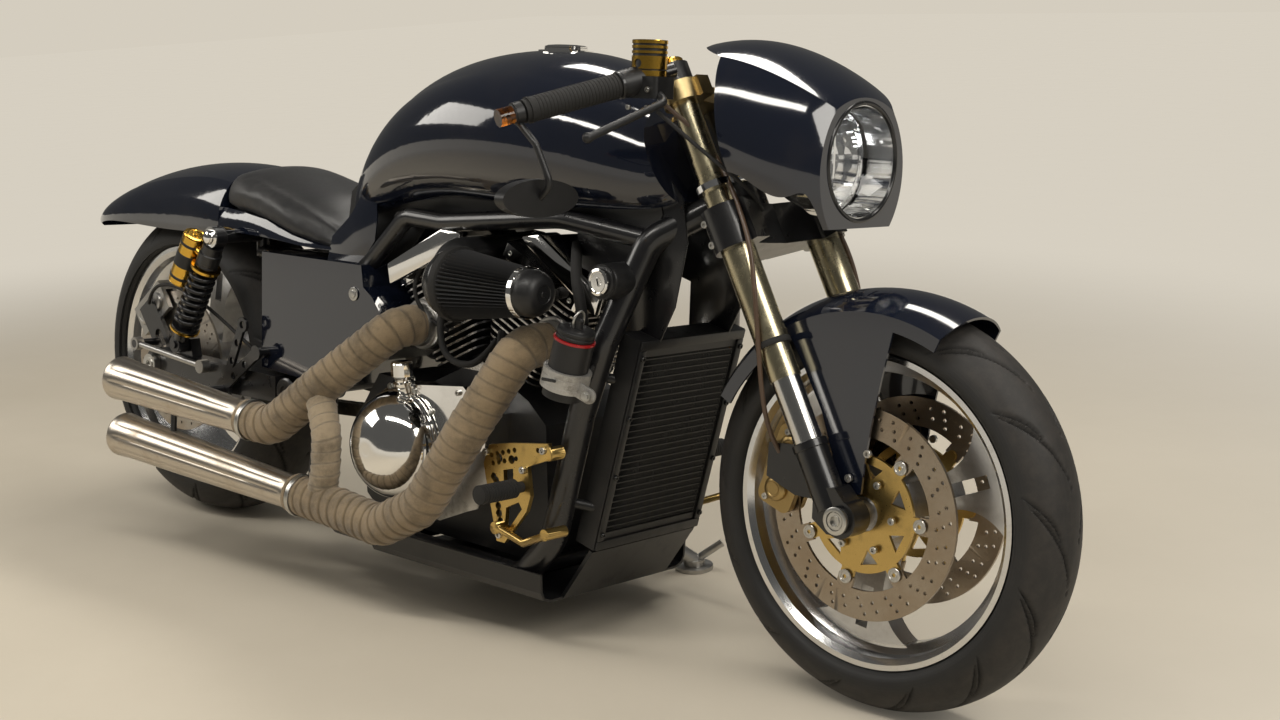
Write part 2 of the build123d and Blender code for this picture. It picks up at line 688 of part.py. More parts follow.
# the same columns, from the rear lip to the deck's step, and along the deck below the seat
tail_rows = ((-300, 92, 568, 100, 582, 84, 594, 602),
             (-225, 114, 568, 124, 598, 96, 634, 652),
             (-105, 124, 569, 134, 608, 106, 668, 695),
             (50, 130, 570, 140, 612, 110, 690, 717),
             (188, 134, 571, 144, 612, 112, 686, 712))
deck_rows = ((188, 134, 571, 144, 608, 124, 648, 656),
             (250, 135, 571, 145, 606, 126, 645, 652),
             (330, 136, 572, 145, 602, 126, 636, 642),
             (410, 134, 573, 142, 592, 122, 614, 620),
             (478, 124, 573, 132, 585, 114, 600, 606),
             (590, 96, 580, 102, 587, 86, 594, 600))
seat_rows = ((188.3, 116, 626, 124, 664, 94, 700, 713),
             (250, 122, 622, 136, 662, 98, 694, 714),
             (330, 128, 612, 144, 646, 104, 674, 700),
             (410, 130, 590, 142, 624, 104, 652, 678),
             (478, 122, 576, 130, 600, 94, 622, 640),
             (502, 120, 574, 126, 598, 92, 610, 616),
             (590, 100, 571, 104, 589, 82, 599, 604))
# x and height of the deck's flat facets, which the seat lies on
deck_line = ((188, 640), (250, 636), (330, 626), (410, 604), (478, 591), (600, 585))
well_rear, well_step, well_front = -292, 180, 580
wheel_room = 108.0

with BuildPart() as tail_unit:
    hull(tail_rows)
    hull(deck_rows)
    hull(((well_rear,) + tail_rows[0][1:], *tail_rows[1:4], (well_step,) + tail_rows[4][1:]), wall=shell_wall,
         floor_drop=30, mode=Mode.SUBTRACT)
    with BuildSketch(side_plane(0)):
        Polygon(*deck_line, (600, 720), (188, 720), align=None)
    extrude(amount=200, both=True, mode=Mode.SUBTRACT)
    hull([(min(x, well_front), *sides_and_floor, shoulder - 16, crown - 16)
          for x, *sides_and_floor, shoulder, crown in deck_rows], wall=shell_wall, floor_drop=30, mode=Mode.SUBTRACT)
    rod((shock_top[0], -shock_y, shock_top[1]), (shock_top[0], shock_y, shock_top[1]), shock_pin + seat_gap,
        mode=Mode.SUBTRACT)
    rod((0, -wheel_room, rear_axle_z), (0, wheel_room, rear_axle_z), rear_tyre_radius + 14, mode=Mode.SUBTRACT)

with BuildPart() as seat_pad:
    hull(seat_rows)
    with BuildSketch(side_plane(0)):
        Polygon(*((x, z + seat_gap) for x, z in deck_line), (600, 500), (188, 500), align=None)
    extrude(amount=200, both=True, mode=Mode.SUBTRACT)

with BuildPart() as tail_light:
    with BuildSketch(Plane.YZ.offset(-300 - seat_gap)):
        with Locations((0, 584)):
            RectangleRounded(110, 18, 6)
    extrude(amount=-10)

body_half = 150.0

with BuildPart() as side_body:
    with BuildSketch(side_plane(0)):
        Polygon((335, 352), (545, 340), (664, 440), (688, 474), (652, 515), (628, 530), (622, 568), (335, 568),
                align=None)
    extrude(amount=body_half, both=True)
    with BuildSketch(side_plane(sprocket_y)):
        strap(sprocket_radius + chain_gap + chain_depth + 8, front_sprocket_radius + chain_gap + chain_depth + 8)
    extrude(amount=15, both=True, mode=Mode.SUBTRACT)
    for side in sides:
        frame_run(upright_run, side, spar_radius + seat_gap, Mode.SUBTRACT)
        frame_run(spar_run, side, spar_radius + seat_gap, Mode.SUBTRACT)
        rod((545, side * 74, rail_z), (330, side * 74, rail_z), rail_radius + seat_gap, mode=Mode.SUBTRACT)

pan_floor = cradle_z - tube_radius - seat_gap

with BuildPart() as belly_pan:
    with BuildSketch(Plane.YZ.offset(690)):
        with BuildLine():
            Polyline((-179, 118), (-177, 87), (-171, 74.6), (-155, pan_floor - 4), (155, pan_floor - 4), (171, 74.6),
                     (177, 87), (179, 118), (175, 118), (173, 88), (168, 78), (154, pan_floor),
                     (-154, pan_floor), (-168, 78), (-173, 88), (-175, 118), (-179, 118))
        make_face()
    extrude(amount=420)
    with BuildSketch(side_plane(0)):
        Polygon((1100, pan_floor - 4), (1110, pan_floor - 4), (1172, 158), (1166, 161), (1105, pan_floor), align=None)
    extrude(amount=cradle_half - tube_radius - 2, both=True)
    with BuildSketch(side_plane(cradle_half)):
        with Locations((1000, 106)):
            Rectangle(70, 50)
    extrude(amount=-60, mode=Mode.SUBTRACT)

# Radiator ahead of the downtubes, leaning with them

radiator_lean = 13.9
radiator_half = cradle_half - tube_radius - seat_gap


def radiator_plane(back=0.0):
    """The radiator's front face: local X runs left, local Y up the core."""
    ahead, up = cos(radians(radiator_lean)), sin(radians(radiator_lean))
    return Plane((1218 - back * ahead, 0, 335 + back * up), (0, 1, 0), (ahead, 0, -up))


with BuildPart() as radiator:
    with BuildSketch(radiator_plane(40)):
        Rectangle(2 * radiator_half, 356)
    extrude(amount=40)
    with BuildSketch(radiator_plane(4)):
        Rectangle(2 * radiator_half - 36, 300)
    extrude(amount=8, mode=Mode.SUBTRACT)
    for side in sides:
        for x, z in ((1160, 230), (1196, 440)):
            rod((x + 16, side * 118, z), (x - 30, side * 146, z + 8), 8)
    add(chassis_frame.part, mode=Mode.SUBTRACT)

# Pieces on the right side: lock, canister, heat plate, then foot controls on both sides

with BuildPart() as ignition_lock:
    rod((1220, -118, 598), (1220, -176, 598), 27)
    rod((1220, -176, 598), (1220, -183, 598), 20)
    rod((1246, -96, 660), (1204, -cradle_half, 498), tube_radius + seat_gap, mode=Mode.SUBTRACT)

canister_foot = Vector(1188, -222, 424)
canister_way = Vector(28, 0, 106).normalized()
canister_radius = 31.0


def canister_point(up):
    return tuple(canister_foot + canister_way * up)


with BuildPart() as canister:
    rod(canister_point(0), canister_point(92), canister_radius)
    rod(canister_point(92), canister_point(110), canister_radius - 5)
    rod(canister_point(110), canister_point(124), 8)

with BuildPart() as canister_clamp:
    rod(canister_point(14), canister_point(46), canister_radius + 5)
    rod((1200, -190, 454), (1186, -160, 452), 9)
    rod(canister_point(13), canister_point(47), canister_radius + seat_gap, mode=Mode.SUBTRACT)
    add(chassis_frame.part, mode=Mode.SUBTRACT)

plate_y = 200.0

with BuildPart() as heat_plate:
    with BuildSketch(side_plane(-plate_y + 6.3)):
        Polygon((930, 298), (1022, 303), (975, 188), (896, 191), align=None)
    extrude(amount=2, both=True)
    rod((990, -case_half - seat_gap, 262), (990, -plate_y + 6, 262), 9)

rearset_rows = ((1000, 286), (1012, 318), (1060, 328), (1144, 340), (1150, 316), (1100, 296), (1108, 250),
                (1100, 224), (1052, 164), (1034, 164), (1030, 180), (1006, 262))
peg_x, peg_z = 1088.0, 262.0

with BuildPart() as rearsets:
    for side in sides:
        with BuildSketch(side_plane(side * plate_y)):
            Polygon(*rearset_rows, align=None)
            with Locations((1036, 300), (1030, 262), (1034, 236), (1038, 210), (1064, 302), (1062, 278)):
                Circle(7, mode=Mode.SUBTRACT)
        extrude(amount=4, both=True)
        rod((1140, side * (cradle_half + 12), 322), (1140, side * plate_y, 322), 11)
        rod((1046, side * plate_y, 190), (1046, side * (plate_y + 21), 190), 10)
        lever_y = side * (plate_y + 15)
        rod((1046, lever_y, 190), (1110, lever_y + side * 4, 178), 6)
        rod((1109, lever_y + side * 4, 177), (1196, lever_y + side * 14, 214), 6.2)
        rod((1196, lever_y + side * 2, 214), (1196, lever_y + side * 46, 214), 9)
    add(chassis_frame.part, mode=Mode.SUBTRACT)

with BuildPart() as foot_pegs:
    for side in sides:
        inner = plate_y + 4 + seat_gap
        rod((peg_x, side * inner, peg_z), (peg_x, side * (inner + 16), peg_z), 9)
        rod((peg_x, side * (inner + 16), peg_z), (peg_x, side * (inner + 92), peg_z), 14)

# Side stand on the left: knuckle on the frame's pin, leg, foot and tang

foot_point = Vector(stand_foot[0], stand_foot[1], stand_foot[1] * tan(radians(lean)))
ground_up = Vector(0, -sin(radians(lean)), cos(radians(lean)))


def above_foot(up):
    return tuple(foot_point + ground_up * up)


with BuildPart() as side_stand:
    rod(stand_point(-10), stand_point(13), 23)
    rod(stand_point(5), above_foot(14), 16, 14)
    rod(above_foot(7), above_foot(18), 19)
    rod(above_foot(0), above_foot(7), 34)
    rod(above_foot(14), (foot_point.X + 38, foot_point.Y + 30, foot_point.Z + 50), 7)
    rod(stand_point(-11), stand_point(20), stand_pin + shaft_gap, mode=Mode.SUBTRACT)

# Front end: clamps, fork legs, axle and calipers

tube_in_lower, tube_in_upper = 23.0, 19.5
# radius, from and to, in millimetres up the leg from the axle height
fork_steps = ((23.5, 208, 262), (fork_radius, 262, lower_clamp_from), (tube_in_lower, lower_clamp_from, 482),
              (22, 482, 500), (21, 500, 516), (22, 516, 524), (20.5, 524, 556), (tube_in_upper, 556, 708))

with BuildPart() as lower_clamp:
    with BuildSketch(steer_plane(lower_clamp_from)):
        Circle(30)
        Polygon((-20, -28), (10, -84), (54, -84), (44, 0), (54, 84), (10, 84), (-20, 28), align=None)
        for side in sides:
            with Locations((clamp_offset, side * fork_half_gap)):
                Circle(34)
            with Locations((clamp_offset + 30, side * (fork_half_gap - 10))):
                Rectangle(28, 30)
        for side in sides:
            with Locations((clamp_offset, side * fork_half_gap)):
                Circle(tube_in_lower + seat_gap, mode=Mode.SUBTRACT)
    extrude(amount=lower_clamp_to - lower_clamp_from)
    with BuildSketch(steer_plane(lower_clamp_to)):
        Circle(stem_radius)
    extrude(amount=upper_clamp_to - lower_clamp_to + 8)
    for low in (head_from + 2, head_to - 16):
        with BuildSketch(steer_plane(low)):
            Circle(bearing_radius - shaft_gap)
        extrude(amount=14)

with BuildPart() as upper_clamp:
    with BuildSketch(steer_plane(upper_clamp_from)):
        Circle(28)
        Polygon((-16, -26), (14, -84), (50, -84), (30, 0), (50, 84), (14, 84), (-16, 26), align=None)
        for side in sides:
            with Locations((clamp_offset, side * fork_half_gap)):
                Circle(31)
            with Locations((clamp_offset + 26, side * (fork_half_gap - 14))):
                Rectangle(24, 26)
        for side in sides:
            with Locations((clamp_offset, side * fork_half_gap)):
                Circle(tube_in_upper + seat_gap, mode=Mode.SUBTRACT)
        Circle(stem_radius + seat_gap, mode=Mode.SUBTRACT)
    extrude(amount=upper_clamp_to - upper_clamp_from)

with BuildPart() as fork_tubes:
    for side in sides:
        for radius, low, high in fork_steps:
            with BuildSketch(leg_plane(low, side)):
                Circle(radius)
            extrude(amount=high - low)
        with BuildSketch(leg_plane(200, side)):
            Circle(slider_radius + seat_gap)
        extrude(amount=72, mode=Mode.SUBTRACT)

with BuildPart() as fork_sliders:
    for side in sides:
        with BuildSketch(leg_plane(112 - 8, side)):
            Circle(slider_radius)
        extrude(amount=164)

foot_half = 19.0
front_caliper_angle = 160.0

with BuildPart() as fork_feet:
    for side in sides:
        with BuildSketch(leg_plane(12, side)):
            Circle(foot_half + 5)
        extrude(amount=100)
        with BuildSketch(side_plane(side * fork_half_gap, wheelbase, front_axle_z)):
            Circle(27)
            Polygon((-46, -6), (-46, 40), (-10, 44), (22, 10), (10, -24), (-20, -24), align=None)
        extrude(amount=foot_half, both=True)
        with BuildSketch(side_plane(side * 91, wheelbase, front_axle_z)):
            Polygon((-30, 14), (-46, 50), (-60, 60), (-98, 88), (-150, 84), (-152, 34), (-100, 14), align=None)
        extrude(amount=6 - seat_gap, both=True)
        with BuildSketch(leg_plane(104 - seat_gap, side)):
            Circle(slider_radius + seat_gap)
        extrude(amount=10, mode=Mode.SUBTRACT)
        with BuildSketch(side_plane(side * fork_half_gap, wheelbase, front_axle_z)):
            Circle(axle_radius + seat_gap)
        extrude(amount=40, both=True, mode=Mode.SUBTRACT)

with BuildPart() as front_axle:
    rod((wheelbase, -136, front_axle_z), (wheelbase, 136, front_axle_z), axle_radius)
    for side in sides:
        inner = front_hub_half + seat_gap
        outer = fork_half_gap - foot_half - 5 - seat_gap
        rod((wheelbase, side * inner, front_axle_z), (wheelbase, side * outer, front_axle_z), 19)
        face = fork_half_gap + foot_half + seat_gap
        rod((wheelbase, side * face, front_axle_z), (wheelbase, side * (face + 8), front_axle_z), 17)
    rod((wheelbase, -140, front_axle_z), (wheelbase, 140, front_axle_z), axle_bore, mode=Mode.SUBTRACT)

with BuildPart() as front_calipers:
    for side in sides:
        with BuildSketch(side_plane(side * front_disc_y, wheelbase, front_axle_z)):
            with PolarLocations(136, 1, start_angle=front_caliper_angle):
                RectangleRounded(62, 128, 14)
        extrude(amount=19, both=True)
        with BuildSketch(side_plane(side * front_disc_y, wheelbase, front_axle_z)):
            Circle(front_disc_radius + swing_gap)
        extrude(amount=disc_half + swing_gap - 0.5, both=True, mode=Mode.SUBTRACT)

# Front fender: a crown over the tyre and two long blades down to the feet

fender_edge, fender_bend, fender_half = 270.0, 290.0, 81.0
fender_inner, fender_outer = 315.0, 319.0
fender_wall = fender_outer - fender_inner
fender_angles = (66, 109, 152)  # from straight ahead, up and over the tyre
blade_rows = ((1504, 548), (1560, 572), (1685, 578), (1668, 500), (1655, 430), (1648, 380), (1644, 331), (1598, 323),
              (1592, 380), (1570, 440), (1535, 500))

with BuildPart() as front_fender:
    with BuildSketch(axle_section(wheelbase, front_axle_z)):
        with BuildLine():
            Line((fender_edge, -fender_half), (fender_bend, -fender_half))
            ThreePointArc((fender_bend, -fender_half), (fender_outer, 0), (fender_bend, fender_half))
            Polyline((fender_bend, fender_half), (fender_edge, fender_half), (fender_edge, fender_half - fender_wall),
                     (fender_bend, fender_half - fender_wall))
            ThreePointArc((fender_bend, fender_half - fender_wall), (fender_inner, 0),
                          (fender_bend, fender_wall - fender_half))
            Polyline((fender_bend, fender_wall - fender_half), (fender_edge, fender_wall - fender_half),
                     (fender_edge, -fender_half))
        make_face()
    revolve(axis=axle_line(wheelbase, front_axle_z))
    with BuildSketch(side_plane(0, wheelbase, front_axle_z)):
        Polygon((0, 0), *(polar_point(400, angle) for angle in fender_angles), align=None)
    extrude(amount=100, both=True, mode=Mode.INTERSECT)
    for side in sides:
        with BuildSketch(side_plane(side * (fender_half - fender_wall / 2))):
            Polygon(*blade_rows, align=None)
        extrude(amount=fender_wall / 2, both=True)

# Nose fairing around the round lamp

# the tank's columns again
nose_rows = ((1282, 126, 800, 146, 860, 106, 928, 953),
             (1350, 124, 765, 154, 845, 112, 940, 966),
             (1420, 118, 730, 154, 825, 112, 932, 959),
             (1480, 110, 706, 147, 808, 106, 914, 938),
             (1525, 98, 698, 133, 798, 96, 894, 914),
             (1551, 86, 698, 115, 795, 82, 878, 896),
             (1563, 76, 699, 103, 794, 70, 868, 886))
nose_front = 1563.0

with BuildPart() as nose_fairing:
    hull(nose_rows)
    hull((*nose_rows[:6], (nose_front - 6,) + nose_rows[6][1:]), wall=shell_wall, floor_drop=20, mode=Mode.SUBTRACT)
    with BuildSketch(side_plane(0)):
        Polygon((1270, 990), (1284, 962), (1384, 938), (1400, 892), (1420, 807), (1436, 757), (1480, 722),
                (1530, 704), (1530, 660), (1270, 660), align=None)
    extrude(amount=250, both=True, mode=Mode.SUBTRACT)
    with BuildSketch(Plane.YZ.offset(nose_front - 60)):
        with Locations((0, lamp_z)):
            Circle(lamp_radius + seat_gap)
    extrude(amount=80, mode=Mode.SUBTRACT)

with BuildPart() as headlight_bowl:
    with BuildSketch(Plane((0, 0, lamp_z), (1, 0, 0), (0, -1, 0))):
        with BuildLine():
            Polyline((lamp_x - 84, 0), (lamp_x - 84, 34), (lamp_x - 54, 66), (lamp_x - 9, lamp_radius),
                     (nose_front - 2, lamp_radius), (nose_front - 2, 80), (lamp_x + 12, 79), (lamp_x - 2, 78),
                     (lamp_x - 50, 60), (lamp_x - 76, 32), (lamp_x - 76, 0), (lamp_x - 84, 0))
        make_face()
    revolve(axis=Axis((0, 0, lamp_z), (1, 0, 0)))
    for side in sides:
        foot_plane = leg_plane(505, side)
        with BuildSketch(foot_plane):
            Circle(29)
            Circle(21 + seat_gap, mode=Mode.SUBTRACT)
        extrude(amount=10)
        rod((1412, side * 92, 762), (lamp_x - 12, side * 81, 780), 7)

with BuildPart() as headlight_lens:
    with BuildSketch(Plane((0, 0, lamp_z), (1, 0, 0), (0, -1, 0))) as section:
        with BuildLine():
            Polyline((lamp_x, 0), (lamp_x, 78 - seat_gap), (lamp_x + 6, 78 - seat_gap))
            ThreePointArc((lamp_x + 6, 78 - seat_gap), (lamp_x + 14, 44), (lamp_x + 17, 6))
            Polyline((lamp_x + 17, 6), (lamp_x + 17, 0), (lamp_x, 0))
        make_face()
    revolve(section.sketch, axis=Axis((0, 0, lamp_z), (1, 0, 0)))

# Bars: clip-on clamps, grips, levers, reservoirs, mirrors and indicators

bar_inner, bar_outer = (1304.0, 124.0, 916.0), (1216.0, 365.0, 846.0)
bar_radius = 11.0


def bar_point(side, share):
    """A point along the bar: 0 at the fork leg, 1 at its outer end."""
    x, y, z = (a + (b - a) * share for a, b in zip(bar_inner, bar_outer))
    return (x, side * y, z)


with BuildPart() as handlebars:
    for side in sides:
        with BuildSketch(leg_plane(upper_clamp_to + seat_gap, side)):
            Circle(25)
        extrude(amount=30)
        rod(bar_point(side, 0), bar_point(side, 1), bar_radius)
        with BuildSketch(leg_plane(upper_clamp_to, side)):
            Circle(tube_in_upper + seat_gap)
        extrude(amount=40, mode=Mode.SUBTRACT)

with BuildPart() as grips:
    for side in sides:
        rod(bar_point(side, 0.36), bar_point(side, 0.94), 17)
        rod(bar_point(side, 0.3), bar_point(side, 1), bar_radius + seat_gap, mode=Mode.SUBTRACT)

with BuildPart() as bar_ends:
    for side in sides:
        rod(bar_point(side, 1.002), bar_point(side, 1.09), 13)

with BuildPart() as bar_controls:
    for side in sides:
        rod(bar_point(side, 0.16), bar_point(side, 0.34), 21)
        with BuildSketch(Plane((1296, side * 168, 874))):
            RectangleRounded(64, 44, 6)
        extrude(amount=32)
        rod((1290, side * 162, 905), (1290, side * 162, 957), 25)
        tube(((1316, side * 172, 884), (1346, side * 190, 870), (1326, side * 325, 818)), 6, (14,))
        rod(bar_point(side, 0), bar_point(side, 0.36), bar_radius + seat_gap, mode=Mode.SUBTRACT)

with BuildPart() as mirrors:
    for side in sides:
        with BuildSketch(Plane.YZ.offset(1244)):
            with Locations((side * 350, 730)):
                Ellipse(75, 27)
        extrude(amount=18)
        tube(((1219, side * 358, 836), (1256, side * 358, 806), (1284, side * 354, 750),
              (1258, side * 350, 730)), 5, (20, 16))
        rod(bar_point(side, 0.952), bar_point(side, 0.998), 16)
        rod(bar_point(side, 0.9), bar_point(side, 1.05), bar_radius + seat_gap, mode=Mode.SUBTRACT)

# Report the finished pieces

pieces = {
    "front_tyre": front_tyre,
    "front_rim": front_rim,
    "front_discs": front_discs,
    "front_disc_carriers": front_disc_carriers,
    "rear_tyre": rear_tyre,
    "rear_rim": rear_rim,
    "rear_disc": rear_disc,
    "rear_sprocket": rear_sprocket,
    "chassis_frame": chassis_frame,
    "swingarm": swingarm,
    "rear_axle": rear_axle,
    "drive_chain": drive_chain,
    "rear_caliper": rear_caliper,
    "rear_caliper_bracket": rear_caliper_bracket,
    "torque_rod": torque_rod,
    "shock_absorbers": shock_absorbers,
    "shock_fittings": shock_fittings,
    "crankcase": crankcase,
    "cylinders": cylinders,
    "rocker_covers": rocker_covers,
    "clutch_cover": clutch_cover,
    "side_cover": side_cover,
    "generator_cover": generator_cover,
    "intake": intake,
    "air_filter": air_filter,
    "rear_header": rear_header,
    "front_header": front_header,
    "mufflers": mufflers,
    "muffler_hanger": muffler_hanger,
    "fuel_tank": fuel_tank,
    "fuel_cap": fuel_cap,
    "tail_unit": tail_unit,
    "seat_pad": seat_pad,
    "tail_light": tail_light,
    "side_body": side_body,
    "belly_pan": belly_pan,
    "radiator": radiator,
    "ignition_lock": ignition_lock,
    "canister": canister,
    "canister_clamp": canister_clamp,
    "heat_plate": heat_plate,
    "rearsets": rearsets,
    "foot_pegs": foot_pegs,
    "side_stand": side_stand,
    "lower_clamp": lower_clamp,
    "upper_clamp": upper_clamp,
    "fork_tubes": fork_tubes,
    "fork_sliders": fork_sliders,
    "fork_feet": fork_feet,
    "front_axle": front_axle,
    "front_calipers": front_calipers,
    "front_fender": front_fender,
    "nose_fairing": nose_fairing,
    "headlight_bowl": headlight_bowl,
    "headlight_lens": headlight_lens,
    "handlebars": handlebars,
    "grips": grips,
    "bar_ends": bar_ends,
    "bar_controls": bar_controls,
    "mirrors": mirrors,
}

middle_x = (wheelbase + front_tyre_radius - rear_tyre_radius) / 2
middle_y = 78.0
stance = Location((-middle_x, -middle_y, 0)) * Location((0, 0, 0), (-lean, 0, 0))

os.makedirs("parts", exist_ok=True)
for name, piece in pieces.items():
    piece.part.label = name
    piece.part.move(stance)
    export_step(piece.part, f"parts/{name}.step")
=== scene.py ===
from math import atan2, cos, pi, radians, sin, tan

import bpy
from mathutils import Matrix, Vector


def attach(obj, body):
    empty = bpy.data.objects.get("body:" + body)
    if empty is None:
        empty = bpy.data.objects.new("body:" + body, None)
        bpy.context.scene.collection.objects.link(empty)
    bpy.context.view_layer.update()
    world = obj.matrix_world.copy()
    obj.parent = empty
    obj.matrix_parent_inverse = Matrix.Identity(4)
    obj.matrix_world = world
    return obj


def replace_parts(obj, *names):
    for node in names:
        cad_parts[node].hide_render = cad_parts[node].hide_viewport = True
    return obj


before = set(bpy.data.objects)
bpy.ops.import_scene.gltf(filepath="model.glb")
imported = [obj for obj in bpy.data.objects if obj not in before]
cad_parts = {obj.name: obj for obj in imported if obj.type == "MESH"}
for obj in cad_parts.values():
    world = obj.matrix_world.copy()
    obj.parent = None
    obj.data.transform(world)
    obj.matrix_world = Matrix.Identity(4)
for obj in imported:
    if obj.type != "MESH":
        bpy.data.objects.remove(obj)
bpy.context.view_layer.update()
ops = bpy.ops

# The bike is measured upright in millimetres, forward of the rear axle, to the rider's left and up.
# STANCE leans it on its stand, as the frame has it.
MM = 0.001
LEAN = radians(6.2)
MIDDLE = Vector((812, 78, 0)) * MM
STANCE = Matrix.Translation(-MIDDLE) @ Matrix.Rotation(-LEAN, 4, "X")
SIDES = (-1, 1)

FRONT_AXLE = (1640.0, 300.365)
REAR_AXLE = (0.0, 316.635)
RAKE = radians(28.5)
LEG_X, LEG_Y = 1622.0, 107.0
CRANK = (880.0, 300.0)
VEE = radians(25)


# Finishes: node trees written as sums


class Wire:
    """A node's output that takes part in sums."""

    def __init__(self, finish, socket):
        self.finish = finish
        self.socket = socket

    def sum(self, operation, *values):
        return self.finish.node("Math", {"operation": operation}, dict(enumerate(values)))

    def __add__(self, other):
        return self.sum("ADD", self, other)

    def __radd__(self, other):
        return self.sum("ADD", other, self)

    def __sub__(self, other):
        return self.sum("SUBTRACT", self, other)

    def __rsub__(self, other):
        return self.sum("SUBTRACT", other, self)

    def __mul__(self, other):
        return self.sum("MULTIPLY", self, other)

    def __rmul__(self, other):
        return self.sum("MULTIPLY", other, self)

    def __truediv__(self, other):
        return self.sum("DIVIDE", self, other)

    def __pow__(self, other):
        return self.sum("POWER", self, other)

    def above(self, edge):
        return self.sum("GREATER_THAN", self, edge)

    def below(self, edge):
        return self.sum("LESS_THAN", self, edge)

    def wave(self):
        return self.sum("SINE", self)

    def size(self):
        return self.sum("ABSOLUTE", self)

    def least(self, other):
        return self.sum("MINIMUM", self, other)

    def most(self, other):
        return self.sum("MAXIMUM", self, other)

    def step(self, start, end):
        """0 up to start, 1 from end, smooth between."""
        return self.finish.node("MapRange", {"interpolation_type": "SMOOTHSTEP"},
                                {"Value": self, "From Min": start, "From Max": end})


class Finish:
    """One material, with a single call for every node."""

    def __init__(self, name, color, roughness, metallic=0.0, **constants):
        self.material = bpy.data.materials.new(name)
        self.material.use_nodes = True
        self.tree = self.material.node_tree
        self.tree.nodes.clear()
        self.shader = self.tree.nodes.new("ShaderNodeBsdfPrincipled")
        output = self.tree.nodes.new("ShaderNodeOutputMaterial")
        self.tree.links.new(self.shader.outputs[0], output.inputs["Surface"])
        self.set("Base Color", (*color, 1))
        self.set("Roughness", roughness)
        self.set("Metallic", metallic)
        for socket, value in constants.items():
            self.set(socket.replace("_", " "), value)
        self.material.diffuse_color = (*color, 1)

    def node(self, kind, settings, sockets, out=0):
        made = self.tree.nodes.new("ShaderNode" + kind)
        for key, value in settings.items():
            if key == "stops":
                for index, (place, color) in enumerate(value):
                    if index > 1:
                        made.color_ramp.elements.new(place)
                    made.color_ramp.elements[index].position = place
                    made.color_ramp.elements[index].color = (*color, 1)
            else:
                setattr(made, key, value)
        for key, value in sockets.items():
            if isinstance(value, Wire):
                self.tree.links.new(value.socket, made.inputs[key])
            else:
                made.inputs[key].default_value = value
        return Wire(self, made.outputs[out])

    def set(self, socket, value):
        if isinstance(value, Wire):
            self.tree.links.new(value.socket, self.shader.inputs[socket])
        else:
            self.shader.inputs[socket].default_value = value

    def place(self):
        """Position on the upright bike, in metres."""
        point = self.node("TexCoord", {}, {}, "Object")
        return self.node("Mapping", {"vector_type": "TEXTURE"},
                         {"Vector": point, "Location": -MIDDLE, "Rotation": (-LEAN, 0, 0)})

    def axes(self, point=None):
        split = self.node("SeparateXYZ", {}, {0: point or self.place()})
        return [Wire(self, socket) for socket in split.socket.node.outputs]

    def noise(self, scale, detail=4.0, roughness=0.6, stretch=(1, 1, 1), distortion=0.0):
        point = self.place()
        if stretch != (1, 1, 1):
            point = self.node("VectorMath", {"operation": "MULTIPLY"}, {0: point, 1: stretch})
        return self.node("TexNoise", {}, {"Vector": point, "Scale": scale, "Detail": detail,
                                          "Roughness": roughness, "Distortion": distortion})

    def cells(self, scale, feature="F1", out="Distance"):
        return self.node("TexVoronoi", {"feature": feature}, {"Vector": self.place(), "Scale": scale}, out)

    def blend(self, mask, first, second):
        """Colour that goes from the first to the second with the mask."""
        return self.node("Mix", {"data_type": "RGBA"},
                         {0: mask, 6: first if isinstance(first, Wire) else (*first, 1),
                          7: second if isinstance(second, Wire) else (*second, 1)}, 2)

    def bump(self, height, depth, strength=1.0):
        """Raises the surface by a depth in millimetres."""
        self.set("Normal", self.node("Bump", {},
                                     {"Height": height, "Distance": depth * MM, "Strength": strength}))

    def around(self, x, z):
        """Distance from a wheel's axle line, in metres, and the angle round it."""
        ahead, left, up = self.axes()
        ahead, up = ahead - x * MM, up - z * MM
        return (ahead * ahead + up * up) ** 0.5, self.sum2("ARCTAN2", up, ahead), left

    def sum2(self, operation, first, second):
        return self.node("Math", {"operation": operation}, {0: first, 1: second})


def gloss_paint(name, color, dirt=0.0):
    paint = Finish(name, color, 0.12, Coat_Weight=0.9, Coat_Roughness=0.03, Specular_IOR_Level=0.5)
    flakes = paint.noise(900, 2)
    grime = paint.noise(9, 6).step(0.45, 0.75)
    low = 1 - paint.axes()[2].step(0.05, 0.2 + 0.001)
    dust = (grime * 0.12 + paint.noise(60, 3).step(0.5, 0.8) * low * dirt).least(0.9)
    paint.set("Base Color", paint.blend(dust * 0.35, paint.blend(flakes, color, [c * 1.8 for c in color]),
                                        (0.11, 0.085, 0.06)))
    paint.set("Roughness", 0.08 + dust * 0.35 + flakes * 0.03)
    paint.bump(paint.noise(260, 1) + dust * 0.4, 0.03, 0.25)
    return paint.material


def frame_enamel():
    enamel = Finish("frame_enamel", (0.006, 0.006, 0.007), 0.25, Coat_Weight=0.4, Coat_Roughness=0.12)
    wear = enamel.noise(22, 8, 0.7).step(0.58, 0.78)
    enamel.set("Base Color", enamel.blend(wear * 0.35, (0.006, 0.006, 0.007), (0.045, 0.042, 0.038)))
    enamel.set("Roughness", 0.2 + enamel.noise(40, 5) * 0.2 + wear * 0.2)
    enamel.bump(enamel.noise(480, 3), 0.05, 0.5)
    return enamel.material


def moulded_plastic(name, color=(0.008, 0.008, 0.0085), roughness=0.5, grain=0.08):
    plastic = Finish(name, color, roughness)
    marks = plastic.noise(30, 6).step(0.5, 0.8)
    plastic.set("Base Color", plastic.blend(marks * 0.4, color, [c * 2.2 + 0.005 for c in color]))
    plastic.set("Roughness", roughness - 0.1 + marks * 0.2)
    plastic.bump(plastic.cells(1500) + plastic.noise(700, 2), grain, 0.5)
    return plastic.material


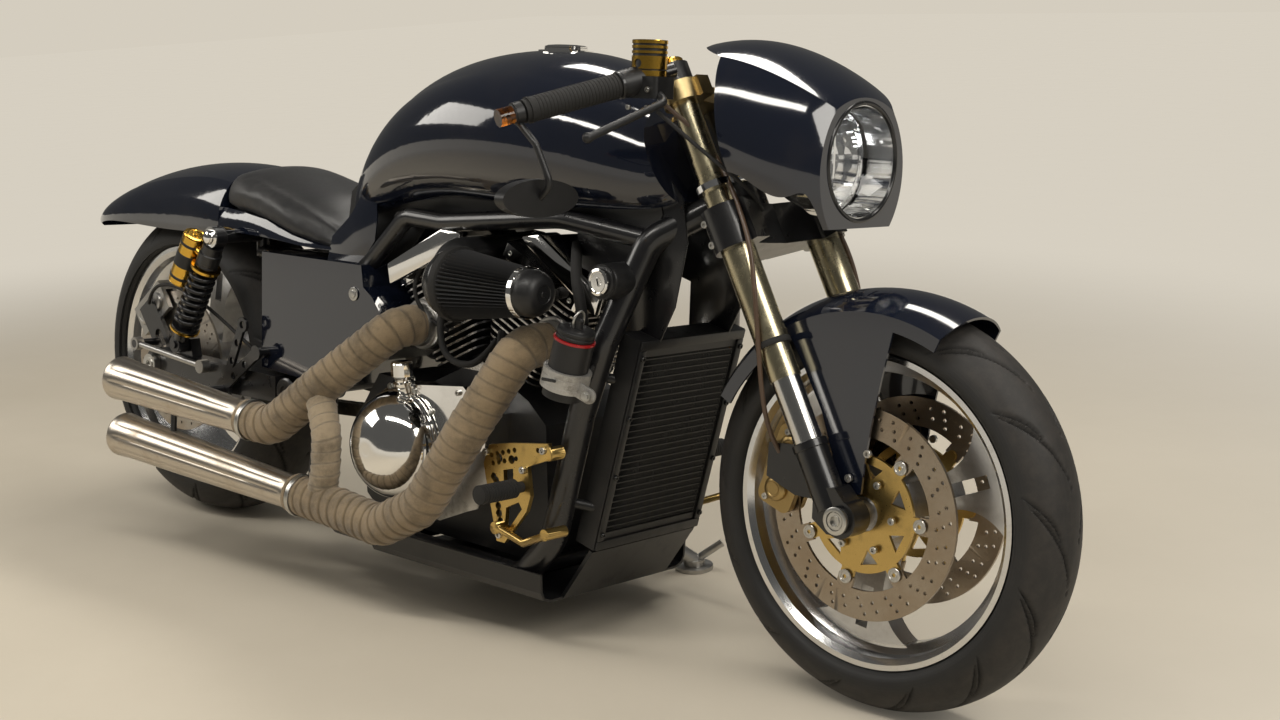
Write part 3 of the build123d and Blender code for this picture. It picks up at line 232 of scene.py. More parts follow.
def cast_engine():
    """Black engine paint, with the fin edges machined back to bright metal."""
    cast = Finish("engine_black", (0.018, 0.018, 0.019), 0.45)
    ahead, left, up = cast.axes()
    ahead, up = ahead - CRANK[0] * MM, up - CRANK[1] * MM
    edge = (left.size() - 0.0955).step(0, 0.0012)
    along = (ahead.size() * cos(VEE) - up * sin(VEE))
    reach = 0.072 + (up - 0.13) * 0.15
    side = (along - reach + 0.0015).step(0, 0.0012) * up.above(0.12)
    bare = (edge * up.above(0.11)).most(side) * cast.noise(120, 4).step(0.3, 0.42)
    grime = cast.noise(26, 8, 0.7).step(0.5, 0.8)
    cast.set("Base Color",
             cast.blend(bare, cast.blend(grime * 0.5, (0.016, 0.016, 0.017), (0.07, 0.06, 0.05)),
                                      (0.62, 0.6, 0.57)))
    cast.set("Metallic", bare)
    cast.set("Roughness", 0.42 + grime * 0.25 - bare * 0.15)
    cast.bump(cast.cells(900) * 0.6 + cast.noise(300, 5), 0.12, 0.6)
    return cast.material


def chrome(name="bright_chrome", color=(0.86, 0.85, 0.83), roughness=0.05):
    plate = Finish(name, color, roughness, 1.0)
    smudge = plate.noise(14, 7, 0.65).step(0.42, 0.78)
    plate.set("Roughness", roughness + smudge * 0.12 + plate.noise(220, 3) * 0.02)
    plate.set("Base Color", plate.blend(smudge * 0.3, color, [c * 0.72 for c in color]))
    plate.bump(plate.noise(60, 2), 0.05, 0.12)
    return plate.material


def brushed(name, color, roughness, stretch, scale=160, stain=0.3, tint=(0.3, 0.24, 0.17)):
    metal = Finish(name, color, roughness, 1.0)
    lines = metal.noise(scale, 6, 0.75, stretch)
    blots = metal.noise(17, 7, 0.65).step(0.48, 0.8)
    metal.set("Base Color",
              metal.blend(blots * stain, metal.blend(lines, [c * 0.82 for c in color], color), tint))
    metal.set("Roughness", roughness - 0.05 + lines * 0.12 + blots * 0.18)
    metal.bump(lines, 0.05, 0.35)
    return metal.material


def machined_wheel(name, axle):
    """Silver wheel: turned rings on the rim, a satin cast centre, brake dust near the hub."""
    silver = Finish(name, (0.66, 0.66, 0.66), 0.24, 1.0)
    radius, angle, left = silver.around(*axle)
    rings = (radius * 5200).wave() * radius.above(0.2)
    cast = 1 - radius.step(0.196, 0.204)
    dust = silver.noise(24, 7, 0.7).step(0.42, 0.8) * (1 - radius.step(0.12, 0.24)) + silver.noise(70,
        4).step(0.55, 0.8) * 0.25
    shade = silver.blend(cast * 0.5, (0.7, 0.7, 0.7), (0.52, 0.52, 0.53))
    silver.set("Base Color", silver.blend(dust * 0.5, shade, (0.16, 0.13, 0.1)))
    silver.set("Roughness", 0.16 + cast * 0.14 + dust * 0.3)
    silver.bump(rings * 0.3 + silver.noise(500, 3) * cast, 0.03, 0.4)
    return silver.material


def turned_steel(name, axle, color, hot=(0.3, 0.22, 0.14)):
    """Ground brake disc: fine rings with a heat tint."""
    steel = Finish(name, color, 0.34, 1.0)
    radius, angle, left = steel.around(*axle)
    rings = (radius * 7000).wave() * 0.5 + steel.noise(90, 4, stretch=(1, 1, 1)) * 0.5
    heat = steel.noise(12, 4).step(0.35, 0.7)
    steel.set("Base Color", steel.blend(heat * 0.5, color, hot))
    steel.set("Roughness", 0.3 + rings * 0.1)
    steel.bump(rings, 0.03, 0.4)
    return steel.material


def anodised(name, color, roughness=0.28, wear=0.3):
    gold = Finish(name, color, roughness, 1.0)
    rub = gold.noise(32, 7, 0.7).step(0.55, 0.78)
    fine = gold.noise(420, 3)
    gold.set("Base Color", gold.blend(rub * wear, gold.blend(fine * 0.5, color, [c * 0.7 for c in color]),
                                      (0.2, 0.16, 0.1)))
    gold.set("Roughness", roughness - 0.04 + fine * 0.1 + rub * 0.2)
    gold.bump(fine, 0.03, 0.4)
    return gold.material


def rubber(name, color=(0.01, 0.0095, 0.009), roughness=0.75):
    skin = Finish(name, color, roughness)
    dust = skin.noise(20, 8, 0.7).step(0.45, 0.8)
    skin.set("Base Color", skin.blend(dust * 0.3, color, (0.05, 0.042, 0.034)))
    skin.set("Roughness", roughness + dust * 0.12)
    skin.bump(skin.noise(600, 4) + skin.cells(700) * 0.4, 0.12, 0.6)
    return skin.material


def tyre_rubber(name, axle, shoulder):
    """Worn brownish tread, a blacker wall with moulded rings, painted shade in the grooves."""
    skin = Finish(name, (0.022, 0.02, 0.018), 0.7)
    radius, angle, left = skin.around(*axle)
    tread = radius.step(shoulder - 0.012, shoulder + 0.004)
    groove = skin.node("Attribute", {"attribute_name": "groove"}, {}, "Fac")
    worn = skin.noise(34, 8, 0.75).step(0.35, 0.7)
    scuff = skin.noise(10, 5, 0.6, (0.4, 3, 0.4)).step(0.4, 0.75)
    wall = skin.blend(skin.noise(15, 6).step(0.4, 0.8) * 0.5, (0.012, 0.0118, 0.0115), (0.024, 0.022, 0.02))
    crown = skin.blend(worn * 0.7, (0.017, 0.0155, 0.014), (0.037, 0.031, 0.026))
    # painted shade: the groove mask darkens the grooves below the rubber's own colour
    skin.set("Base Color",
             skin.blend(groove * 0.85, skin.blend(tread, wall, crown), (0.006, 0.0055, 0.005)))
    skin.set("Roughness", 0.62 + scuff * 0.2 * tread + groove * 0.2)
    rings = (radius * 1500).wave().above(0.75) * (1 - tread) * 0.5
    skin.bump(skin.noise(800, 4) * 0.35 + skin.noise(150, 6) * tread * 0.5 + rings, 0.35, 0.6)
    return skin.material


def heat_wrap(name, color):
    """Woven glass tape, scorched and frayed. Its own map runs along and round the pipe."""
    tape = Finish(name, color, 0.95, Sheen_Weight=0.25, Sheen_Roughness=0.5)
    cloth = tape.node("UVMap", {"uv_map": "tape"}, {})
    thread, run, spare = tape.axes(cloth)
    warp, weft = (thread * 2 * pi).wave(), (run * 2 * pi).wave()
    weave = (warp * weft) * 0.5 + 0.5
    scorch = tape.noise(16, 8, 0.72).step(0.4, 0.72)
    dirt = tape.noise(70, 6, 0.7).step(0.45, 0.75)
    base = tape.blend(scorch, color, [c * 0.42 for c in color])
    # painted shade: the lap mask darkens the tape in the valley where each turn laps over the last
    edge = tape.node("Attribute", {"attribute_name": "lap"}, {}, "Fac")
    base = tape.blend(edge * 0.75, base, [c * 0.2 for c in color])
    tape.set("Base Color", tape.blend(dirt * 0.4, base, [c * 0.6 + 0.02 for c in color]))
    tape.bump(weave * 0.6 + tape.noise(500, 6, 0.8) * 0.8 + tape.noise(120, 5) * 0.6, 0.7, 0.8)
    return tape.material


def leather(name):
    hide = Finish(name, (0.014, 0.013, 0.013), 0.42, Sheen_Weight=0.08)
    grain = hide.cells(520, "SMOOTH_F1")
    crease = hide.noise(70, 7, 0.65, distortion=0.6)
    worn = hide.noise(12, 5).step(0.45, 0.75)
    hide.set("Base Color", hide.blend(worn * 0.5, (0.011, 0.011, 0.012), (0.03, 0.028, 0.026)))
    hide.set("Roughness", 0.34 + grain * 0.2 + worn * 0.12)
    hide.bump(grain * 0.8 + crease * 0.5, 0.25, 0.6)
    return hide.material


def clear_plastic(name, color, roughness=0.03):
    glass = Finish(name, color, roughness, Transmission_Weight=1.0, IOR=1.45)
    glass.set("Roughness", roughness + glass.noise(60, 4).step(0.5, 0.8) * 0.05)
    glass.bump(glass.noise(30, 2), 0.05, 0.2)
    return glass.material


def scratched_plate():
    plate = Finish("raw_plate", (0.52, 0.51, 0.49), 0.5, 0.85)
    lines = plate.noise(120, 7, 0.8, (1, 1, 0.08))
    blots = plate.noise(22, 8, 0.75).step(0.42, 0.7)
    white = plate.noise(48, 8, 0.8).step(0.55, 0.72)
    plate.set("Base Color",
              plate.blend(white * 0.6, plate.blend(blots * 0.7, (0.5, 0.49, 0.47), (0.2, 0.18, 0.15)),
                                        (0.72, 0.7, 0.66)))
    plate.set("Roughness", 0.42 + blots * 0.3)
    plate.bump(lines * 0.5 + blots, 0.2, 0.5)
    return plate.material


def mirror_glass():
    glass = Finish("mirror_glass", (0.82, 0.84, 0.86), 0.02, 1.0)
    glass.set("Roughness", 0.02 + glass.noise(20, 6).step(0.5, 0.8) * 0.08)
    return glass.material


NAVY = (0.0035, 0.005, 0.0105)
body_paint = gloss_paint("body_paint", NAVY)
pan_paint = moulded_plastic("pan_paint", (0.008, 0.008, 0.0085), 0.42, 0.03)
black_frame = frame_enamel()
black_plastic = moulded_plastic("black_plastic")
engine_paint = cast_engine()
bright = chrome()
dull_steel = brushed("dull_steel", (0.5, 0.49, 0.47), 0.36, (1, 1, 6), 120)
bolt_steel = brushed("bolt_steel", (0.6, 0.59, 0.56), 0.3, (1, 1, 1), 300, 0.25)
black_bolt = moulded_plastic("black_bolt", (0.012, 0.012, 0.012), 0.32, 0.03)
silver_slider = brushed("silver_slider", (0.72, 0.71, 0.69), 0.16, (4, 4, 0.5), 200, 0.15)
champagne = brushed("champagne_fork", (0.56, 0.5, 0.34), 0.24, (1, 1, 0.15), 260, 0.25, (0.3, 0.26, 0.16))
gold = anodised("gold_anodised", (0.66, 0.46, 0.16))
pale_gold = anodised("pale_gold", (0.6, 0.47, 0.24), 0.34, 0.45)
bright_gold = anodised("bright_gold", (0.83, 0.5, 0.08), 0.18, 0.1)
bronze = anodised("bronze_caliper", (0.42, 0.3, 0.13), 0.34, 0.5)
front_silver = machined_wheel("front_wheel_silver", FRONT_AXLE)
rear_silver = machined_wheel("rear_wheel_silver", REAR_AXLE)
front_disc_steel = turned_steel("front_disc_steel", FRONT_AXLE, (0.4, 0.34, 0.27))
rear_disc_steel = turned_steel("rear_disc_steel", REAR_AXLE, (0.45, 0.42, 0.38))
front_rubber = tyre_rubber("front_tyre_rubber", FRONT_AXLE, 0.264)
rear_rubber = tyre_rubber("rear_tyre_rubber", REAR_AXLE, 0.27)
soft_rubber = rubber("soft_rubber")
dark_wrap = heat_wrap("dark_wrap", (0.27, 0.2, 0.118))
pale_wrap = heat_wrap("pale_wrap", (0.36, 0.285, 0.19))
muffler_steel = brushed("muffler_steel", (0.62, 0.56, 0.48), 0.3, (0.12, 1, 1), 300, 0.45,
                        (0.34, 0.24, 0.14))
seat_leather = leather("seat_leather")
pleat_cotton = rubber("pleat_cotton", (0.013, 0.013, 0.014), 0.9)
chain_metal = brushed("chain_metal", (0.3, 0.27, 0.23), 0.4, (1, 1, 1), 240, 0.6, (0.1, 0.07, 0.05))
spring_enamel = moulded_plastic("spring_enamel", (0.01, 0.01, 0.011), 0.2, 0.03)
lamp_glass = clear_plastic("lamp_glass", (0.97, 0.98, 1.0))
reflector = chrome("reflector", (0.92, 0.93, 0.94), 0.03)
red_plastic = clear_plastic("red_plastic", (0.6, 0.02, 0.02), 0.1)
amber_plastic = clear_plastic("amber_plastic", (0.95, 0.3, 0.04), 0.08)
raw_plate = scratched_plate()
mirror_face = mirror_glass()
red_ring = moulded_plastic("red_ring", (0.3, 0.01, 0.012), 0.3, 0.02)

# CAD node and the finish that it keeps
node_finishes = {
    "front_tyre": front_rubber, "front_rim": front_silver, "front_discs": front_disc_steel,
    "front_disc_carriers": gold, "rear_tyre": rear_rubber, "rear_rim": rear_silver,
                 "rear_disc": rear_disc_steel,
    "rear_sprocket": dull_steel, "chassis_frame": black_frame, "swingarm": black_frame,
                 "rear_axle": bolt_steel,
    "drive_chain": chain_metal, "rear_caliper": dull_steel, "rear_caliper_bracket": black_frame,
    "torque_rod": dull_steel, "shock_absorbers": spring_enamel, "shock_fittings": bright_gold,
    "crankcase": engine_paint, "cylinders": engine_paint, "rocker_covers": bright, "clutch_cover": bright,
    "side_cover": bright, "generator_cover": bright, "intake": black_plastic, "air_filter": pleat_cotton,
    "rear_header": dark_wrap, "front_header": dark_wrap, "mufflers": muffler_steel,
                 "muffler_hanger": black_frame,
    "fuel_tank": body_paint, "fuel_cap": bright, "tail_unit": body_paint, "seat_pad": seat_leather,
    "tail_light": red_plastic, "side_body": body_paint, "belly_pan": pan_paint, "radiator": black_plastic,
    "ignition_lock": black_plastic, "canister": black_plastic, "canister_clamp": raw_plate,
                 "heat_plate": raw_plate,
    "rearsets": gold, "foot_pegs": soft_rubber, "side_stand": dull_steel, "lower_clamp": black_frame,
    "upper_clamp": pale_gold, "fork_tubes": champagne, "fork_sliders": silver_slider,
                 "fork_feet": black_frame,
    "front_axle": bolt_steel, "front_calipers": bronze, "front_fender": body_paint,
                 "nose_fairing": body_paint,
    "headlight_bowl": reflector, "headlight_lens": lamp_glass, "handlebars": black_frame,
                 "grips": soft_rubber,
    "bar_ends": amber_plastic, "bar_controls": black_plastic, "mirrors": black_plastic}

for name, finish in node_finishes.items():
    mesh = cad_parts[name].data
    mesh.materials.clear()
    mesh.materials.append(finish)


# Camera, floor and light


def clear():
    ops.object.select_all(action="DESELECT")


def camera_view(yaw, pitch, roll):
    """Camera axes from its heading, its dip and its tilt."""
    ahead = Vector((cos(yaw) * cos(pitch), sin(yaw) * cos(pitch), sin(pitch)))
    level = Vector((sin(yaw), -cos(yaw), 0))
    above = level.cross(ahead)
    right = level * cos(roll) + above * sin(roll)
    up = above * cos(roll) - level * sin(roll)
    return Matrix((right, up, -ahead)).transposed().to_4x4()


clear()
ops.object.camera_add()
camera = bpy.context.object
camera.matrix_world = Matrix.Translation((2.190, -2.067, 1.102)) @ camera_view(radians(132.3),
    radians(-13.3),
                                                                               radians(-2.28))
camera.data.lens = 1743 / 1280 * 36
camera.data.sensor_width = 36
bpy.context.scene.camera = camera

BACKGROUND = (0.66, 0.61, 0.52)
floor_paint = Finish("floor_paint", (0.6, 0.54, 0.44), 0.5)
far_off = floor_paint.node("VectorMath", {"operation": "LENGTH"}, {0: floor_paint.place()},
                           "Value").step(1.25, 3.6)
shade = floor_paint.blend(floor_paint.noise(2.2, 6, 0.65), (0.56, 0.505, 0.41), (0.64, 0.58, 0.48))
floor_paint.set("Base Color", floor_paint.blend(far_off, shade, (0.02, 0.02, 0.02)))
floor_paint.set("Emission Color", floor_paint.blend(far_off, (0, 0, 0), BACKGROUND))
floor_paint.set("Emission Strength", 1.0)
floor_paint.set("Specular IOR Level", 0.12)
floor_paint.set("Roughness", 0.42 + floor_paint.noise(6, 5) * 0.2)
floor_paint.bump(floor_paint.noise(320, 3), 0.3, 0.3)
clear()
ops.mesh.primitive_plane_add(size=40)
floor = bpy.context.object
floor.name = "floor"
floor.data.materials.append(floor_paint.material)

world = bpy.data.worlds.new("pale_room")
bpy.context.scene.world = world
world.use_nodes = True
tree = world.node_tree
seen, lit, dim, mixed, inner, rays = [tree.nodes.new("ShaderNode" + kind) for kind in
                                      ("Background", "Background", "Background", "MixShader", "MixShader",
                                       "LightPath")]
seen.inputs["Color"].default_value = (*BACKGROUND, 1)
lit.inputs["Color"].default_value = (0.86, 0.84, 0.79, 1)
lit.inputs["Strength"].default_value = 0.3
dim.inputs["Color"].default_value = (0.86, 0.84, 0.79, 1)
dim.inputs["Strength"].default_value = 0.1
for start, end in ((rays.outputs["Is Glossy Ray"], inner.inputs[0]), (lit.outputs[0], inner.inputs[1]),
                   (dim.outputs[0], inner.inputs[2]),
                   (rays.outputs["Is Camera Ray"], mixed.inputs[0]), (inner.outputs[0], mixed.inputs[1]),
                   (seen.outputs[0], mixed.inputs[2]),
                   (mixed.outputs[0], tree.nodes["World Output"].inputs["Surface"])):
    tree.links.new(start, end)
bpy.context.scene.view_settings.view_transform = "Standard"

# where each lamp hangs, where it points, its sides and its power
for at, to, wide, deep, power in (((0.6, -1.6, 3.0), (0.1, 0, 0.4), 3.2, 0.3, 48),
                                  ((0.2, 1.2, 3.0), (0, 0, 0.5), 3.2, 0.4, 45),
                                  ((3.4, -0.4, 2.6), (0.6, 0, 0.4), 1.6, 1.6, 50),
                                  ((-2.6, -1.8, 2.2), (-0.4, 0, 0.4), 1.8, 1.2, 30)):
    clear()
    ops.object.light_add(type="AREA", location=at)
    lamp = bpy.context.object
    lamp.data.shape = "RECTANGLE"
    lamp.data.size, lamp.data.size_y = wide, deep
    lamp.data.energy = power
    lamp.data.color = (1, 0.96, 0.89)
    lamp.rotation_euler = (Vector(to) - Vector(at)).to_track_quat("-Z", "Y").to_euler()

# Modelling: sizes in millimetres on the upright bike, each piece made along its own Z and then stood in place


def spot(at, way=(0, 0, 1), ahead=(1, 0, 0)):
    """Place of a piece on the leaning bike: its Z along way, its X as near ahead as it can be."""
    up = Vector(way).normalized()
    along = Vector(ahead) - up * Vector(ahead).dot(up)
    if along.length < 0.01:
        along = up.orthogonal()
    along.normalize()
    turn = Matrix((along, up.cross(along), up)).transposed().to_4x4()
    return STANCE @ Matrix.Translation(Vector(at) * MM) @ turn


def edit(piece):
    clear()
    piece.select_set(True)
    bpy.context.view_layer.objects.active = piece
    ops.object.mode_set(mode="EDIT")
    ops.mesh.select_all(action="SELECT")


def close_edit(merge=0.0):
    ops.mesh.select_all(action="SELECT")
    if merge:
        ops.mesh.remove_doubles(threshold=merge)
    ops.mesh.normals_make_consistent(inside=False)
    ops.object.mode_set(mode="OBJECT")


def finish_with(piece, kind, **settings):
    """Adds a modifier and applies it."""
    clear()
    piece.select_set(True)
    bpy.context.view_layer.objects.active = piece
    made = piece.modifiers.new(kind.title(), kind)
    for key, value in settings.items():
        setattr(made, key, value)
    ops.object.modifier_apply(modifier=made.name)
    return piece


def fit(piece, place, finish, body, smooth=35):
    """Stands a piece in its place, with its finish, and makes it ride on a body."""
    if place is not None:
        piece.data.transform(place)
    piece.data.materials.clear()
    piece.data.materials.append(finish)
    if smooth:
        clear()
        piece.select_set(True)
        bpy.context.view_layer.objects.active = piece
        ops.object.shade_smooth_by_angle(angle=radians(smooth))
    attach(piece, body)
    return piece


def turned(name, stations, sides=48, ring=False):
    """Round piece from stations of radius and height; a ring's stations run round its section."""
    clear()
    radius, up = stations[0]
    ops.mesh.primitive_circle_add(vertices=sides, radius=radius * MM,
                                  fill_type="NOTHING" if ring else "NGON")
    piece = bpy.context.object
    piece.name = name
    edit(piece)
    ops.transform.translate(value=(0, 0, up * MM))
    for (radius, up), (next_radius, next_up) in zip(stations, stations[1:]):
        ops.mesh.extrude_region_move(TRANSFORM_OT_translate={"value": (0, 0, (next_up - up) * MM)})
        if next_radius != radius:
            share = next_radius / radius
            ops.transform.resize(value=(share, share, 1), center_override=(0, 0, next_up * MM))
    close_edit(1e-6 if ring else 0)
    return piece


def plate(name, outline, thick, edge=0.0):
    """Flat piece with an outline in its own X and Y."""
    clear()
    ops.mesh.primitive_circle_add(vertices=len(outline), radius=MM, fill_type="NGON")
    piece = bpy.context.object
    piece.name = name
    for vertex, (x, y) in zip(piece.data.vertices, outline):
        vertex.co = (x * MM, y * MM, 0)
    edit(piece)
    ops.mesh.extrude_region_move(TRANSFORM_OT_translate={"value": (0, 0, thick * MM)})
    close_edit()
    if edge:
        finish_with(piece, "BEVEL", width=edge * MM, segments=2, limit_method="ANGLE",
                    angle_limit=radians(40))
    return piece


def skin(name, rows, columns, place, mark=None, capped=False, merge=2e-6):
    """Sheet of points from a function of two shares; its seam is merged, and mark names an attribute."""
    clear()
    ops.mesh.primitive_grid_add(x_subdivisions=rows, y_subdivisions=columns, size=2, calc_uvs=True)
    piece = bpy.context.object
    piece.name = name
    shares = [((vertex.co.x + 1) / 2, (vertex.co.y + 1) / 2) for vertex in piece.data.vertices]
    for vertex, (along, round_it) in zip(piece.data.vertices, shares):
        vertex.co = Vector(place(along, round_it)) * MM
    if mark:
        layer = piece.data.attributes.new(mark[0], "FLOAT", "POINT")
        for index, (along, round_it) in enumerate(shares):
            layer.data[index].value = mark[1](along, round_it)
    edit(piece)
    if capped:
        ops.mesh.remove_doubles(threshold=merge)
        ops.mesh.fill_holes(sides=0)
    close_edit(merge)
    return piece


def joined(name, pieces):
    clear()
    for piece in pieces:
        piece.select_set(True)
    bpy.context.view_layer.objects.active = pieces[0]
    if len(pieces) > 1:
        ops.object.join()
    pieces[0].name = name
    return pieces[0]


def repeated(name, model, places):
    """Copies a model to every place and joins the copies into one piece."""
    made = []
    for place in places:
        piece = bpy.data.objects.new(name, model.data.copy())
        bpy.context.collection.objects.link(piece)
        piece.data.transform(place)
        made.append(piece)
    bpy.data.objects.remove(model)
    return joined(name, made)


def node_copy(node, name):
    """A merged copy of a CAD node's mesh, to be cut or shaped."""
    piece = bpy.data.objects.new(name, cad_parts[node].data.copy())
    bpy.context.collection.objects.link(piece)
    edit(piece)
    close_edit(1e-6)
    return piece


def cut(piece, tool):
    finish_with(piece, "BOOLEAN", object=tool, operation="DIFFERENCE", solver="EXACT")
    bpy.data.objects.remove(tool)
    return piece


def bent(corners, bends, step=4.0):
    """Points every few millimetres along straight runs joined by arcs."""
    corners = [Vector(corner) for corner in corners]
    line = [corners[0]]
    for before, corner, after, bend in zip(corners, corners[1:], corners[2:], bends):
        back, on = (before - corner).normalized(), (after - corner).normalized()
        half = back.angle(on) / 2
        start, end = corner + back * (bend / tan(half)), corner + on * (bend / tan(half))
        middle = corner + (back + on).normalized() * (bend / sin(half))
        for index in range(9):
            line.append(middle + (start - middle).slerp(end - middle, index / 8).normalized() * bend)
    line.append(corners[-1])
    lengths = [0.0]
    for first, second in zip(line, line[1:]):
        lengths.append(lengths[-1] + (second - first).length)
    count = int(lengths[-1] / step)
    points, index = [], 0
    for number in range(count + 1):
        wanted = lengths[-1] * number / count
        while index < len(line) - 2 and lengths[index + 1] < wanted:
            index += 1
        run = max(lengths[index + 1] - lengths[index], 1e-9)
        points.append(line[index].lerp(line[index + 1], min(1.0, (wanted - lengths[index]) / run)))
    return points


def pipe(name, points, sides, radius, mark=None, capped=True):
    """Tube along points; its radius may change along it and round it."""
    frames = []
    side = None
    for index, point in enumerate(points):
        way = (points[min(index + 1, len(points) - 1)] - points[max(index - 1, 0)]).normalized()
        side = way.orthogonal() if side is None else side - way * side.dot(way)
        side.normalize()
        frames.append((point, side.copy(), way.cross(side)))

    def place(along, round_it):
        point, first, second = frames[round(along * (len(points) - 1))]
        turn = 2 * pi * round_it
        return point + (first * cos(turn) + second * sin(turn)) * radius(along, round_it)

    return skin(name, len(points) - 1, sides, place, mark, capped)


def socket_bolt(size):
    """Cap screw head with its hexagon socket."""
    head = turned("bolt", ((size, 0), (size, size * 0.85), (size * 0.88, size), (size * 0.56, size)), 20)
    well = turned("well", ((size * 0.52, size * 0.4), (size * 0.52, size * 1.2)), 6)
    return cut(head, well)


def hex_bolt(size):
    head = turned("bolt", ((size * 1.25, 0), (size * 1.25, size * 0.2)), 24)
    cap = turned("cap", ((size, size * 0.2), (size, size * 0.8), (size * 0.85, size * 0.95),
                         (size * 0.2, size)), 6)
    return joined("bolt", [head, cap])


def bolts(name, make, size, finish, body, rows):
    """One joined piece of bolts, from rows of place and way."""
    return fit(repeated(name, make(size), [spot(at, way) for at, way in rows]), None, finish, body)


def on_leg(side, up, ahead=0.0, out=0.0):
    """A point on a fork leg, up from the axle's height."""
    return (LEG_X - up * sin(RAKE) + ahead * cos(RAKE), side * (LEG_Y + out),
            FRONT_AXLE[1] + up * cos(RAKE) + ahead * sin(RAKE))


LEG_WAY = (-sin(RAKE), 0, cos(RAKE))

# Cords: hoses and cables along listed points


def hose(name, points, radius, finish, body):
    line = bpy.data.curves.new(name, "CURVE")
    line.dimensions = "3D"
    run = line.splines.new("NURBS")
    run.points.add(len(points) - 1)
    for point, at in zip(run.points, points):
        point.co = (*(STANCE @ (Vector(at) * MM)), 1)
    run.order_u = 3
    run.use_endpoint_u = True
    run.resolution_u = 12
    line.bevel_depth = radius * MM
    line.bevel_resolution = 4
    line.use_fill_caps = True
    line.materials.append(finish)
    piece = bpy.data.objects.new(name, line)
    bpy.context.collection.objects.link(piece)
    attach(piece, body)
    return piece


hose_brown = moulded_plastic("hose_brown", (0.075, 0.045, 0.028), 0.45, 0.02)
hose("right_brake_hose",
     ((1300, -150, 872), (1330, -128, 846), (1368, -100, 800), (1420, -112, 740), (1470, -132, 668),
      (1492, -140, 560), (1496, -128, 460),
                          (1500, -110, 400), (1508, -94, 372)), 3.6, hose_brown, "steering")
hose("left_brake_hose",
     ((1366, 72, 800), (1400, 96, 742), (1452, 128, 668), (1484, 140, 560), (1492, 128, 460),
      (1498, 110, 400), (1508, 94, 372)), 3.6, hose_brown,
     "steering")
hose("throttle_cable",
     ((1312, -166, 856), (1352, -156, 826), (1412, -142, 784), (1444, -102, 746), (1432, -62, 718)), 3.0,
     soft_rubber, "steering")
hose("clutch_cable", ((1312, 166, 856), (1352, 156, 826), (1412, 142, 784), (1444, 102, 746),
                      (1432, 62, 718)), 3.0, soft_rubber, "steering")
hose("rear_breather",
     ((792, -104, 548), (796, -122, 490), (820, -134, 436), (868, -136, 420), (910, -128, 432),
      (930, -112, 470)), 6.0, soft_rubber, "chassis")
hose("front_breather",
     ((940, -112, 486), (948, -128, 448), (980, -134, 424), (1016, -128, 436), (1034, -112, 470)), 6.0,
     soft_rubber, "chassis")
hose("plug_lead", ((760, -112, 596), (740, -128, 560), (742, -130, 520), (772, -116, 480),
                   (800, -104, 470)), 3.6, soft_rubber, "chassis")
hose("coolant_hose", ((1080, -84, 640), (1110, -120, 600), (1140, -132, 540), (1150, -132, 480),
                      (1146, -120, 430)), 9.0, soft_rubber, "chassis")
hose("rear_brake_hose",
     ((-66, -134, 428), (-30, -150, 470), (60, -152, 480), (180, -150, 440), (300, -146, 380),
      (380, -140, 350)), 3.4, soft_rubber, "chassis")

# Tyres with curved grooves


def tyre(name, node, axle, radius, crown, half, flange, finish, body, repeats):
    """Tyre with sickle grooves in its crown, rounded walls and a bead on the rim."""
    center = radius - crown
    reach = atan2(half, (crown * crown - half * half) ** 0.5)
    shoulder = center + crown * cos(reach)
    wall = ((shoulder - 6, half + 0.6), (shoulder - 14, half - 0.6), (233 + 4, flange + 5),
            (233, flange + 1), (231, flange - 7),
            (221, flange - 7.5))
    crown_rows, wall_rows = 60, len(wall)
    rows = crown_rows + 2 * wall_rows

    def grooved(turn, across):
        """How deep in a groove a point of the crown lies, 0 to 1."""
        share = abs(across) / reach
        shift = 0.0 if across > 0 else 0.5
        best = 0.0
        for start, end, sweep, wide, offset in ((0.06, 0.9, 0.95, 3.6, 0.0), (0.34, 0.98, 0.55, 2.8, 0.5)):
            if not start <= share <= end:
                continue
            run = (share - start) / (end - start)
            line = offset + shift + sweep * (run ** 0.62)
            gap = (turn * repeats / (2 * pi) - line) % 1.0
            gap = min(gap, 1 - gap) * 2 * pi / repeats * radius
            lean = 0.62 if run < 0.25 else 0.85
            taper = wide * (1 - abs(2 * run - 0.9) ** 3 * 0.7)
            best = max(best, 1 - max(0.0, min(1.0, (gap * lean - taper + 1.2) / 2.4)))
        return best

    def section(along):
        index = round(along * rows)
        if index < wall_rows:
            r, y = wall[wall_rows - 1 - index]
            return r, -y, None
        if index > wall_rows + crown_rows:
            r, y = wall[index - wall_rows - crown_rows - 1]
            return r, y, None
        across = reach * (2 * (index - wall_rows) / crown_rows - 1)
        return center + crown * cos(across), crown * sin(across), across

    def place(along, round_it):
        r, y, across = section(along)
        turn = 2 * pi * round_it
        if across is not None:
            r -= 4.6 * grooved(turn, across)
        return (r * cos(turn), y, r * sin(turn))

    # groove depth, kept as an attribute for the painted shade in the tyre finish
    def mark(along, round_it):
        across = section(along)[2]
        return 0.0 if across is None else grooved(2 * pi * round_it, across)

    piece = skin(name, rows, 720, place, ("groove", mark))
    edit(piece)
    ops.mesh.select_all(action="DESELECT")
    ops.mesh.select_non_manifold()
    ops.mesh.bridge_edge_loops()
    close_edit()
    fit(piece, STANCE @ Matrix.Translation(Vector((axle[0], 0, axle[1])) * MM), finish, body,
        50)
    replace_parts(piece, node)
    return piece


tyre("front_tyre_tread", "front_tyre", FRONT_AXLE, 300, 62, 60, 51, front_rubber, "front_wheel", 13)
tyre("rear_tyre_tread", "rear_tyre", REAR_AXLE, 316, 108, 100, 87, rear_rubber, "rear_wheel", 11)

# Brake discs with slanted rows of holes


